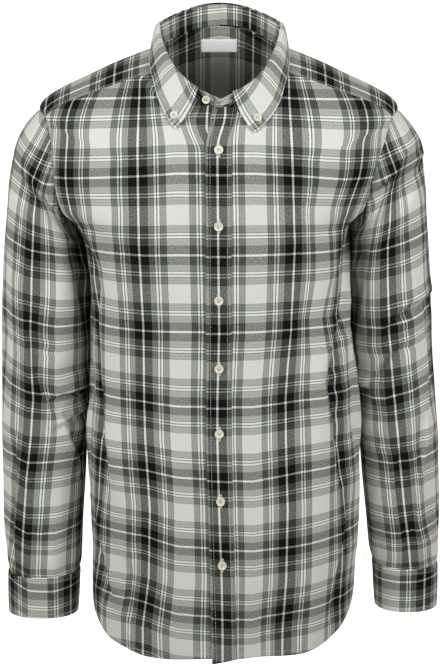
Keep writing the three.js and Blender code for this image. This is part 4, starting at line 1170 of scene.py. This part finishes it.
def sleeve_folded(rows, side, at, down):
    """A sleeve with its folds. Its first ring is the armhole seam and eases into the sleeve's own rings."""
    at, down = np.broadcast_arrays(np.asarray(at, float), np.asarray(down, float))
    around = around_of(at)
    hold = 1 - ease(down, 0, CAP_REACH)
    angle, level = armhole(at)
    seam = torso(angle if side > 0 else 360 - angle, level)
    point = sleeve_ring(rows, side, around, down)
    point = point + (seam - sleeve_ring(rows, side, around, 0 * down)) * hold[..., None]
    away = ease(down, 0, CAP_PLAIN)
    gather = ease(down, CUFF_SEAM - CUFF_PLEAT_REACH, CUFF_SEAM)
    gather = gather * (1 - CUFF_PLEAT_FLAT * ease(down, CUFF_SEAM - CUFF_PLEAT_END, CUFF_SEAM))
    pleats = CUFF_PLEAT_DEEP * gather * np.sin(np.radians(around * CUFF_PLEAT_COUNT))
    depth = sinking(SLEEVE_FOLDS, around, down, 1.0) + sinking(SLEEVE_CREASES, around, down, 1.0)
    depth += lapping(SLEEVE_LAPS["left" if side > 0 else "right"], around, down, 1.0)
    depth += sinking(SLEEVE_HOLLOW, around, down, 1.0)
    depth += SLEEVE_WAVER * np.sin(np.radians(around) * 3 + down / 23) * np.sin(down / 31)
    return point + unit(point - sleeve_middle(rows, side, down)) * (-depth * away - pleats)[..., None]


def sleeve_cut(points, warp_line, weft_lines, front):
    """The warp and weft place of a tube's points. `front` are its front columns, from the inner side out."""
    length = arc(points)
    warp = np.zeros(length.shape)
    for i, (row, s) in enumerate(zip(points, length)):
        warp[i] = s - crossing(row[front], s[front], warp_line)[0]
    out = np.abs(points[..., 0])
    inner, outer = out.min(1, keepdims=True), out.max(1, keepdims=True)
    across = (out - inner) / (outer - inner)
    return np.stack([warp, weft_place(weft_lines, across, "share", points[..., 2])], -1)


SLEEVES = [
    ("right", SLEEVE_RIGHT, -1, WARP_RIGHT, WEFT_RIGHT),
    ("left", SLEEVE_LEFT, 1, WARP_LEFT, WEFT_LEFT),
]
sleeve_at = np.linspace(0, LAST_SEAM, SLEEVE_ROUND + 1)[None, :]
sleeve_down = (CUFF_SEAM * eased(SLEEVE_LONG, 0.45))[:, None]
sleeve_front = slice(4, SLEEVE_ROUND // 2 - 3)
seam_angle_row, seam_level_row = armhole(sleeve_at[0, :-1])
for name, rows, side, warp_line, weft_lines in SLEEVES:
    full = sleeve_folded(rows, side, sleeve_at, sleeve_down)
    points = full[:, :-1]
    normal = grid_normal(points, sleeve_middle(rows, side, sleeve_down), ring=True)
    # Along the seam the cloth lies as the body does, and under the arm it turns to the sleeve's own way.
    seam_normal = torso_normal(seam_angle_row if side > 0 else 360 - seam_angle_row, seam_level_row)
    under = ((1 - np.cos(np.radians(around_of(sleeve_at[0, :-1])))) / 2)[:, None] ** 2
    normal[0] = unit(seam_normal * (1 - under) + normal[0] * under)
    cut = sleeve_cut(full, warp_line, weft_lines, sleeve_front)
    outer = dipped(points, normal, ["first_row", "last_row"])
    piece = shell(f"sleeve_{name}_tube", outer, normal, CLOTH, cut, flannel, ring=True)
    place_cloth(piece, f"sleeve_{name}")

# Sleeve plackets: a narrow strip bound over the slit above each cuff, at the back of the wrist.
STRIP_PROUD = SEAM_GAP + CLOTH
STRIP_ROWS = 40
STRIP_COLUMNS = 12
STRIP_FROM = 464
STRIP_WIDE = 0.75
STRIP_WARP_FROM = 20
STRIP_STITCH = 1.8
for name, rows, side, _, weft_lines in SLEEVES:
    strip_at = np.linspace(BACK_SEAM, BACK_SEAM + STRIP_WIDE, STRIP_COLUMNS)[None, :]
    strip_down = np.linspace(STRIP_FROM, CUFF_SEAM, STRIP_ROWS)[:, None]
    points = sleeve_folded(rows, side, strip_at, strip_down)
    normal = grid_normal(points, sleeve_middle(rows, side, strip_down))
    points = points + normal * STRIP_PROUD
    weft = weft_place(weft_lines, 0.5 + 0 * points[..., 0], "share", points[..., 2])
    cut = np.stack([arc(points) + STRIP_WARP_FROM, weft], -1)
    piece = shell(f"sleeve_placket_{name}_strip", points, normal, CLOTH, cut, flannel)
    place_cloth(piece, f"sleeve_placket_{name}")
    sew(f"stitches_sleeve_placket_{name}", [
        inset(points, normal, edge, STRIP_STITCH) for edge in ("first_column", "last_column", "first_row")
    ])

# Cuffs: two layers of cloth over an interlining, folded round the wrist and lapped at the back. They are
# edge-stitched all round, five millimetres in.
CUFF_CLOTH = 2.2
CUFF_PROUD = 1
CUFF_START = 290
CUFF_TURN = 380
CUFF_LAP = 3
CUFF_LAP_FROM, CUFF_LAP_TO = 590, 640
CUFF_SWELL = 0.5
CUFF_COLUMNS = 120
CUFF_ROWS = 22
CUFF_STITCH = 5.0
# The front of the cuff runs between these angles, and the middle of an off-white block crosses it at this x.
CUFF_FRONT_FROM, CUFF_FRONT_TO = 365, 535
CUFF_BLOCK = {"right": -220, "left": 205}
CUFF_LEVELS = np.array([-800.0, -600.0])


def cuff_point(rows, side, around, down):
    """A cuff's outer face."""
    around, down = np.broadcast_arrays(np.asarray(around, float), np.asarray(down, float))
    point = sleeve_ring(rows, side, around, down)
    lap = CUFF_LAP * ease(around, CUFF_LAP_FROM, CUFF_LAP_TO)
    swell = CUFF_SWELL * np.sin(math.pi * (down - CUFF_SEAM) / (CUFF_END - CUFF_SEAM))
    away = unit(point - sleeve_middle(rows, side, down))
    return point + away * (CUFF_PROUD + lap + swell)[..., None]


around = (CUFF_START + CUFF_TURN * np.linspace(0, 1, CUFF_COLUMNS))[None, :]
down = (CUFF_SEAM + (CUFF_END - CUFF_SEAM) * eased(CUFF_ROWS))[:, None]
cuff_front = slice(int(np.argmax(around[0] > CUFF_FRONT_FROM)), int(np.argmax(around[0] > CUFF_FRONT_TO)))
for name, rows, side, _, weft_lines in SLEEVES:
    points = cuff_point(rows, side, around, down)
    normal = grid_normal(points, sleeve_middle(rows, side, down))
    block = {"z": CUFF_LEVELS, "x": np.array([CUFF_BLOCK[name]] * 2, float)}
    cut = sleeve_cut(points, block, weft_lines, cuff_front)
    cut[..., 0] += WARP_REPEAT / 2
    piece = shell(f"cuff_{name}_band", points, normal, CUFF_CLOTH, cut, flannel)
    place_cloth(piece, f"cuff_{name}")
    sew(f"stitches_cuff_{name}", [
        inset(points, normal, edge, CUFF_STITCH) for edge in ("first_row", "last_row")
    ])

# Collar stand: a band of two layers and interlining that stands round the neck. Its ends are rounded tabs,
# the left one over the right, undone.
FOLD_RING = {
    "side": 70.5, "fore": 80, "aft": 65, "front": -86, "flank": -8, "back": 16, "dip": 1.2, "rise": 2,
}
STAND_UNDER, STAND_OVER = 7, -365.5
TAB_REACH, TAB_HEIGHT = 24, 0.4
BAND = 2.0
STAND_COLUMNS = 170
STAND_ROWS = 16
STAND_WEFT_FROM = 4
STAND_MIDDLE = np.array([0, 0, -60])
STAND_STITCH = 3.0


def fold_point(angle):
    """The ring where the leaf turns down over the stand."""
    angle = np.asarray(angle, float)
    s, c = np.sin(np.radians(angle)), np.cos(np.radians(angle))
    depth = np.where(c > 0, FOLD_RING["fore"], FOLD_RING["aft"])
    end = np.where(c > 0, FOLD_RING["front"], FOLD_RING["back"])
    turn = np.abs(c) ** np.where(c > 0, FOLD_RING["dip"], FOLD_RING["rise"])
    height = FOLD_RING["flank"] + (end - FOLD_RING["flank"]) * turn
    return np.stack([FOLD_RING["side"] * s, -depth * c, height], -1)


def lap_rise(angle):
    """How far the collar's left end stands off the right one."""
    turned = ring_point(angle + 360, NECK)[..., 0]
    return np.where(angle < -180, OVERLAP * (1 - ease(turned, LEFT_RISE_FROM, LEFT_RISE_TO)), 0)


def radial(points):
    """The level direction away from the middle of the neck."""
    return unit(points * np.array([1, 1, 0]))


def stand_point(angle, height):
    """The stand's outer face, from the neck seam at 0 to the fold at 1."""
    angle, height = np.broadcast_arrays(np.asarray(angle, float), np.asarray(height, float))
    turned = np.where(angle < -180, angle + 360, angle)
    rise = lap_rise(angle)[..., None]
    foot = ring_point(turned, NECK) + ring_normal(turned, NECK) * rise
    top = fold_point(angle)
    top = top + radial(top) * rise
    from_end = np.minimum(STAND_UNDER - angle, angle - STAND_OVER)
    full = TAB_HEIGHT + (1 - TAB_HEIGHT) * np.sin(math.pi / 2 * np.minimum(1, from_end / TAB_REACH))
    return foot + (top - foot) * (full * height)[..., None]


stand_angles = (STAND_OVER + (STAND_UNDER - STAND_OVER) * eased(STAND_COLUMNS, 0.5))[None, :]
stand_heights = eased(STAND_ROWS)[:, None]
stand_points = stand_point(stand_angles, stand_heights)
stand_normal = grid_normal(stand_points, STAND_MIDDLE)
stand_arc = arc(stand_points)
stand_warp = stand_arc - stand_arc[:, STAND_COLUMNS // 2:STAND_COLUMNS // 2 + 1] + WARP_REPEAT / 2
stand_weft = edge_distance(stand_points, "first_row") + STAND_WEFT_FROM
stand_cut = np.stack([stand_warp, stand_weft], -1)
stand = shell("collar_stand_band", stand_points, stand_normal, BAND, stand_cut, flannel)
place_cloth(stand, "collar_stand")
sew("stitches_stand", [inset(stand_points, stand_normal, "first_row", STAND_STITCH)])

# Collar leaf: two layers and interlining, turned down over the stand. Its points are buttoned to the fronts,
# and it is edge-stitched five millimetres in.
LEAF_RIGHT_END, LEAF_LEFT_END = -20, -349
LEAF_CLOTH = 1.8
LEAF_REST = 2.6
LEAF_ROLL = 5
LEAF_BOW = 9
LEAF_BOW_REACH = 14
LEAF_OVER = 5
LEAF_HOLLOW = 0.45
LEAF_COLUMNS = 170
LEAF_ROWS = 34
LEAF_MEASURED_ROW = 12
LEAF_WARP_FROM = 64.5
LEAF_WEFT_FROM = 19
LEAF_MIDDLE = np.array([0, 0, -160])
LEAF_STITCH = 5.0
LEAF_EDGE_RIGHT = table("fold angle level", [
    (20, 20.5, -133.5), (34, 35, -122), (54, 52, -114), (90, 88, -107), (135, 134, -111), (180, 180, -119),
])
LEAF_EDGE_LEFT = table("fold angle level", [
    (11, 16, -134.5), (30, 32, -124), (54, 52, -114), (90, 88, -107), (135, 134, -111), (180, 180, -119),
])


def leaf_point(angle, share):
    """The leaf's outer face, from the fold at 0 to its edge on the shirt at 1."""
    angle, share = np.broadcast_arrays(np.asarray(angle, float), np.asarray(share, float))
    left = angle < -180
    fold = np.where(left, 360 + angle, -angle)
    left_turn, left_level = (along(LEAF_EDGE_LEFT, "fold", name, fold) for name in ("angle", "level"))
    right_turn, right_level = (along(LEAF_EDGE_RIGHT, "fold", name, fold) for name in ("angle", "level"))
    turn = np.where(left, left_turn, -right_turn)
    level = np.where(left, left_level, right_level)
    normal = torso_normal(turn, level)
    base = np.where(left[..., None], left_front(turn, level), torso(turn, level))
    edge = base + normal * LEAF_REST
    top = fold_point(angle)
    out = radial(top)
    top = top + out * lap_rise(angle)[..., None]
    up = np.array([0, 0, 1.0])
    start = top - out + up * (LEAF_CLOTH + 2 * SEAM_GAP)
    over = top + out * LEAF_OVER + up * LEAF_OVER
    fall = edge + (top - edge) * LEAF_HOLLOW + normal * LEAF_ROLL
    from_end = np.minimum(LEAF_RIGHT_END - angle, angle - LEAF_LEFT_END)
    fall[..., 0] += np.where(left, -1, 1) * LEAF_BOW * np.exp(-(from_end / LEAF_BOW_REACH) ** 2)
    t = share[..., None]
    return (1 - t) ** 3 * start + 3 * t * (1 - t) ** 2 * over + 3 * t * t * (1 - t) * fall + t ** 3 * edge


leaf_angles = (LEAF_LEFT_END + (LEAF_RIGHT_END - LEAF_LEFT_END) * eased(LEAF_COLUMNS, 0.4))[None, :]
leaf_shares = np.linspace(0, 1, LEAF_ROWS)[:, None] ** 1.15
leaf_points = leaf_point(leaf_angles, leaf_shares)
leaf_normal = grid_normal(leaf_points, LEAF_MIDDLE)
leaf_arc = arc(leaf_points)[LEAF_MEASURED_ROW:LEAF_MEASURED_ROW + 1]
leaf_fall = edge_distance(leaf_points, "first_row")
leaf_along = np.minimum(leaf_arc - leaf_arc[:, :1], leaf_arc[:, -1:] - leaf_arc) + 0 * leaf_fall
leaf_rise = leaf_fall[-1:] - leaf_fall
leaf_cut = np.stack([LEAF_WARP_FROM - leaf_rise, LEAF_WEFT_FROM + leaf_along], -1)
leaf = shell("collar_leaf_fall", leaf_points, leaf_normal, LEAF_CLOTH, leaf_cut, flannel)
place_cloth(leaf, "collar_leaf")
sew("stitches_leaf", [
    inset(leaf_points, leaf_normal, edge, LEAF_STITCH)
    for edge in ("last_row", "first_column", "last_column")
])

# Neck label: a blank woven satin tab, folded under and stitched down at its two ends inside the back yoke.
# The weave's floats are glossy. A faint glow, painted light, keeps the tab bright in the collar's shade.
LABEL_LEFT, LABEL_RIGHT, LABEL_TOP, LABEL_BOTTOM = -23, 21, -24, -39
LABEL_COLUMNS = 24
LABEL_ROWS = 10
LABEL_THICK = 0.7
LABEL_WHITE = 0xFCFDFE
# The emission is painted light: it brightens the tab beyond what the lamps give it.
label_satin, tree, surface = new_material("woven_satin_label_painted_glow", Base_Color=linear(LABEL_WHITE),
                                          Roughness=0.42, Emission_Color=linear(LABEL_WHITE),
                                          Emission_Strength=0.28)
weave = add_node(tree, "ShaderNodeTexWave", {"wave_type": "BANDS", "bands_direction": "Z"}, Scale=700.0,
                 Distortion=0.6, Vector=add_node(tree, "ShaderNodeTexCoord").outputs["Object"])
label_bump = add_node(tree, "ShaderNodeBump", {}, Strength=0.25, Distance=0.0002,
                      Height=weave.outputs["Fac"])
tree.links.new(label_bump.outputs[0], surface.inputs["Normal"])


def back_level_at(x, z):
    """The angle and level at a place on the upper back."""
    low, high = np.full(np.shape(x), -500.0), np.full(np.shape(x), float(NECK))
    for _ in range(HALVINGS):
        level = (low + high) / 2
        from_angle, to_angle = np.full(np.shape(x), 270.0), np.full(np.shape(x), 90.0)
        for _ in range(20):
            angle = (from_angle + to_angle) / 2
            short = ring_point(angle, level)[..., 0] < x
            from_angle, to_angle = np.where(short, angle, from_angle), np.where(short, to_angle, angle)
        below = ring_point(angle, level)[..., 2] < z
        low, high = np.where(below, level, low), np.where(below, high, level)
    return angle, level


label_z, label_x = np.meshgrid(np.linspace(LABEL_BOTTOM, LABEL_TOP, LABEL_ROWS),
                               np.linspace(LABEL_LEFT, LABEL_RIGHT, LABEL_COLUMNS), indexing="ij")
label_angle, label_level = back_level_at(label_x, label_z)
label_normal = torso_normal(label_angle, label_level)
label_points = torso(label_angle, label_level) - label_normal * (CLOTH + 2 * SEAM_GAP)
label_cut = np.stack([label_x, label_z], -1)
label = shell("neck_label_tab", label_points, label_normal, LABEL_THICK, label_cut, label_satin)
place_cloth(label, "neck_label")
label_face = label_points - label_normal * LABEL_THICK
sew("stitches_label", [(label_face[:, column], -label_normal[:, column]) for column in (1, -2)])

# Buttons: four-hole shirt buttons turned from cast polyester, off-white with a pearly depth, a raised rim
# and a dished middle, sewn on with a cross of thread.
BUTTON_RADIUS = 5.2
COLLAR_BUTTON_RADIUS = 4.6
BUTTON_THICK = 2.4
HOLE_RADIUS = 0.75
HOLE_OUT = 1.45
BUTTON_CREAM = 0xEDE8D8
BUTTON_SHADE = 0xD8CFB6
pearl, tree, surface = new_material("cast_polyester_pearl", Roughness=0.28, Coat_Weight=0.3,
                                    Subsurface_Weight=0.1, Subsurface_Radius=(0.002, 0.0016, 0.001))
pearl_place = add_node(tree, "ShaderNodeTexCoord")
cloud = add_node(tree, "ShaderNodeTexNoise", {"noise_dimensions": "3D"},
                 Vector=pearl_place.outputs["Object"], Scale=220.0, Detail=2.0, Distortion=1.4)
tint = add_node(tree, "ShaderNodeMix", {"data_type": "RGBA"}, n0=cloud.outputs["Fac"],
                n6=linear(BUTTON_CREAM), n7=linear(BUTTON_SHADE))
tree.links.new(tint.outputs[2], surface.inputs["Base Color"])
BUTTON_PROFILE = [
    # share of the radius, height
    (0.0, 0.0), (0.9, 0.0), (0.97, 0.25), (1.0, 0.9), (0.99, 1.7), (0.95, 2.15), (0.88, 2.35), (0.8, 2.25),
    (0.74, 1.9), (0.7, 1.75), (0.45, 1.65), (0.0, 1.6),
]
BUTTON_SIDES = 48
HOLE_SIDES = 16
# The thread's cross: two strands side by side each way, bowed over the dish and diving into the holes.
STRAND_APART = 0.22
STRAND_RADIUS = 0.24
STRAND_LEVEL = 1.75
STRAND_BOW = 0.3
STRAND_DIVE = 0.9
STRAND_RINGS = 9
STRAND_SIDES = 6


def turned(profile, radius, sides):
    """Points and faces of a turned solid whose profile starts and ends on its axis."""
    turns = np.linspace(0, 2 * math.pi, sides, endpoint=False)
    points = [(0, 0, profile[0][1])]
    for share, height in profile[1:-1]:
        points += [(share * radius * math.cos(t), share * radius * math.sin(t), height) for t in turns]
    points.append((0, 0, profile[-1][1]))
    faces = [(0, 1 + (k + 1) % sides, 1 + k) for k in range(sides)]
    for ring in range(len(profile) - 3):
        base = 1 + ring * sides
        for k in range(sides):
            m = (k + 1) % sides
            faces.append((base + k, base + m, base + sides + m, base + sides + k))
    base, last = 1 + (len(profile) - 3) * sides, len(points) - 1
    faces += [(base + k, base + (k + 1) % sides, last) for k in range(sides)]
    return points, faces


def button_mesh(name, radius):
    """A turned button with its four holes cut through."""
    points, faces = turned(BUTTON_PROFILE, radius, BUTTON_SIDES)
    mesh = bpy.data.meshes.new(name)
    mesh.from_pydata((np.array(points) * MM).tolist(), [], faces)
    disc = add_object(name, mesh)
    drill_points, drill_faces = [], []
    for x, y in ((1, 1), (1, -1), (-1, 1), (-1, -1)):
        first = len(drill_points)
        for height in (-1, BUTTON_THICK + 1):
            for t in np.linspace(0, 2 * math.pi, HOLE_SIDES, endpoint=False):
                drill_points.append((x * HOLE_OUT / math.sqrt(2) + HOLE_RADIUS * math.cos(t),
                                     y * HOLE_OUT / math.sqrt(2) + HOLE_RADIUS * math.sin(t), height))
        drill_faces += tube_faces(first, 2, HOLE_SIDES)
    drill_mesh = bpy.data.meshes.new(name + "_drill")
    drill_mesh.from_pydata((np.array(drill_points) * MM).tolist(), [], drill_faces)
    drill = add_object(name + "_drill", drill_mesh)
    cutter = disc.modifiers.new("holes", "BOOLEAN")
    cutter.operation = "DIFFERENCE"
    cutter.object = drill
    cutter.solver = "EXACT"
    drilled = bpy.data.meshes.new_from_object(disc.evaluated_get(bpy.context.evaluated_depsgraph_get()))
    bpy.data.objects.remove(disc)
    bpy.data.objects.remove(drill)
    drilled.name = name
    return drilled


def upright(normal, lean=Vector((0, 0, 1))):
    """A turn that takes +Z to a direction and keeps +Y as near to `lean` as it can."""
    z = Vector(normal).normalized()
    x = lean.cross(z).normalized()
    y = z.cross(x)
    return Matrix((x, y, z)).transposed()


def stitch_cross():
    """Points and faces of the thread that crosses between the holes."""
    points, faces = [], []
    up = np.array([0, 0, 1])
    for x, y in ((1, 1), (-1, 1)):
        side = np.array([-y, x, 0]) / math.sqrt(2)
        run = np.array([x, y, 0.0]) / math.sqrt(2)
        for shift in (-STRAND_APART, STRAND_APART):
            first = len(points)
            for t in np.linspace(-1, 1, STRAND_RINGS):
                height = STRAND_LEVEL + STRAND_BOW * (1 - t ** 4) - STRAND_DIVE * t ** 8
                centre = run * (t * HOLE_OUT) + side * shift + np.array([0, 0, height])
                for k in range(STRAND_SIDES):
                    turn = 2 * math.pi * k / STRAND_SIDES
                    points.append(centre + STRAND_RADIUS * (side * math.cos(turn) + up * math.sin(turn)))
            faces += tube_faces(first, STRAND_RINGS, STRAND_SIDES)
    return np.array(points), faces


button_meshes = {
    BUTTON_RADIUS: button_mesh("shirt_button", BUTTON_RADIUS),
    COLLAR_BUTTON_RADIUS: button_mesh("collar_button", COLLAR_BUTTON_RADIUS),
}
for mesh in button_meshes.values():
    mesh.shade_smooth()
    mesh.materials.clear()
    mesh.materials.append(pearl)
cross_points, cross_faces = stitch_cross()


def add_button(node, point, normal, radius, spin):
    """One button on its cloth, turned a little as it was sewn, with its thread."""
    turn = np.array(upright(normal)) @ np.array([[math.cos(spin), -math.sin(spin), 0],
                                                 [math.sin(spin), math.cos(spin), 0], [0, 0, 1]])
    seat = np.asarray(point) + np.asarray(normal) * SEAM_GAP
    mesh = button_meshes[radius].copy()
    count = len(mesh.vertices)
    places = np.zeros(count * 3, np.float32)
    mesh.vertices.foreach_get("co", places)
    mesh.vertices.foreach_set("co", (places.reshape(-1, 3) @ turn.T + seat * MM).astype(np.float32).ravel())
    piece = add_object(node + "_disc", mesh)
    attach(piece, "root")
    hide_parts(node)
    mesh_piece(node + "_thread", cross_points @ turn.T + seat, cross_faces, thread)


# The seven front buttons sit on the middle of the placket, each at its own height.
FRONT_BUTTONS = [
    # height, how far it is turned
    (-148, 0.3), (-230, -0.5), (-314, 0.1), (-393, 0.7), (-469, -0.2), (-548, 0.5), (-624, -0.6),
]
BUTTON_LIFT = 0.5
BUTTONHOLE_LIFT = 0.4
BUTTONHOLE_LONG = 15.5
COLLAR_HOLE_LONG = 13
# Each buttonhole is noted with its middle, the cloth's outward direction, its run and its length.
buttonholes = []
for number, (height, spin) in enumerate(FRONT_BUTTONS):
    low, high = -780.0, float(NECK)
    for _ in range(HALVINGS):
        level = (low + high) / 2
        below = float(ring_point(angle_at(0.0, level), level)[2]) < height
        low, high = (level, high) if below else (low, level)
    angle = placket_angle(PLACKET_WIDTH / 2, level)
    normal = torso_normal(angle, level)
    point = torso(angle, level) + normal * OVERLAP
    buttonholes.append((point + normal * BUTTONHOLE_LIFT, normal, np.array([0, 0, 1.0]), BUTTONHOLE_LONG))
    add_button(f"button_front_{number + 1}", point + normal * BUTTON_LIFT, normal, BUTTON_RADIUS, spin)


def spot_on(surface, u, v, step_u, step_v, outward):
    """A point on a surface and its outward direction."""
    normal = normal_of(surface, u, v, step_u, step_v)
    point = surface(u, v)
    return point, normal if float((normal * outward(point)).sum()) > 0 else -normal


def from_neck(point):
    """The direction of a point from the middle of the neck, leaning up."""
    return point - np.array([0, 0, point[2] - 30])


STAND_BUTTON_AT, STAND_HOLE_AT, STAND_SHARE = -13.0, -354.0, 0.42
COLLAR_BUTTONS = [
    # side, angle, share of the leaf's fall
    ("right", -24.5, 0.9), ("left", -342.5, 0.87),
]
CUFF_BUTTON_IN, CUFF_BUTTON_UP = 10, 27
point, normal = spot_on(stand_point, STAND_BUTTON_AT, STAND_SHARE, 0.5, 0.02, from_neck)
add_button("button_stand", point, normal, COLLAR_BUTTON_RADIUS, 0.4)
point, normal = spot_on(stand_point, STAND_HOLE_AT, STAND_SHARE, 0.5, 0.02, from_neck)
along_stand = stand_point(STAND_HOLE_AT + 1, STAND_SHARE) - stand_point(STAND_HOLE_AT - 1, STAND_SHARE)
buttonholes.append((point, normal, along_stand, COLLAR_HOLE_LONG))
for name, angle, share in COLLAR_BUTTONS:
    point, normal = spot_on(leaf_point, angle, share, 0.5, 0.01, from_neck)
    add_button(f"button_collar_{name}", point, normal, COLLAR_BUTTON_RADIUS, 0.2)
    down_leaf = leaf_point(angle, share) - leaf_point(angle, share - 0.05)
    buttonholes.append((point, normal, down_leaf, COLLAR_HOLE_LONG))
for name, rows, side, _, _ in SLEEVES:
    around, down = float(CUFF_START + CUFF_TURN - CUFF_BUTTON_IN), float(CUFF_END - CUFF_BUTTON_UP)
    middle = sleeve_middle(rows, side, down)
    point, normal = spot_on(lambda u, v: cuff_point(rows, side, u, v), around, down, 1, 1,
                            lambda p: p - middle)
    add_button(f"button_cuff_{name}", point, normal, BUTTON_RADIUS, 0.1)
    along_cuff = cuff_point(rows, side, around + 2, down) - cuff_point(rows, side, around - 2, down)
    buttonholes.append((point, normal, along_cuff, BUTTONHOLE_LONG))

# Buttonholes: a slit worked round with close satin stitches, which stand a little proud. The buttons cover
# their middles and both ends show.
HOLE_HALF = 0.95
SATIN_WIDE = 0.7
SATIN_HIGH = 0.35
SATIN_ROUND = 36
SATIN_SIDES = 6
satin_points, satin_faces = [], []
for centre, normal, run, long in buttonholes:
    normal = unit(np.asarray(normal, float))
    run = unit(run - normal * (run * normal).sum())
    across_hole = np.cross(normal, run)
    first = len(satin_points)
    for t in np.linspace(0, 2 * math.pi, SATIN_ROUND, endpoint=False):
        shift = (long / 2 - HOLE_HALF) * (1 if math.cos(t) >= 0 else -1)
        out = run * math.cos(t) + across_hole * math.sin(t)
        spine = centre + run * shift + out * HOLE_HALF
        for k in range(SATIN_SIDES):
            turn = 2 * math.pi * k / SATIN_SIDES
            wide, high = SATIN_WIDE * math.cos(turn), SATIN_HIGH * math.sin(turn)
            satin_points.append(spine + out * wide + normal * high)
    for ring in range(SATIN_ROUND):
        for k in range(SATIN_SIDES):
            a, b = first + ring * SATIN_SIDES, first + (ring + 1) % SATIN_ROUND * SATIN_SIDES
            m = (k + 1) % SATIN_SIDES
            satin_faces.append((a + k, b + k, b + m, a + m))
mesh_piece("buttonholes", satin_points, satin_faces, thread)
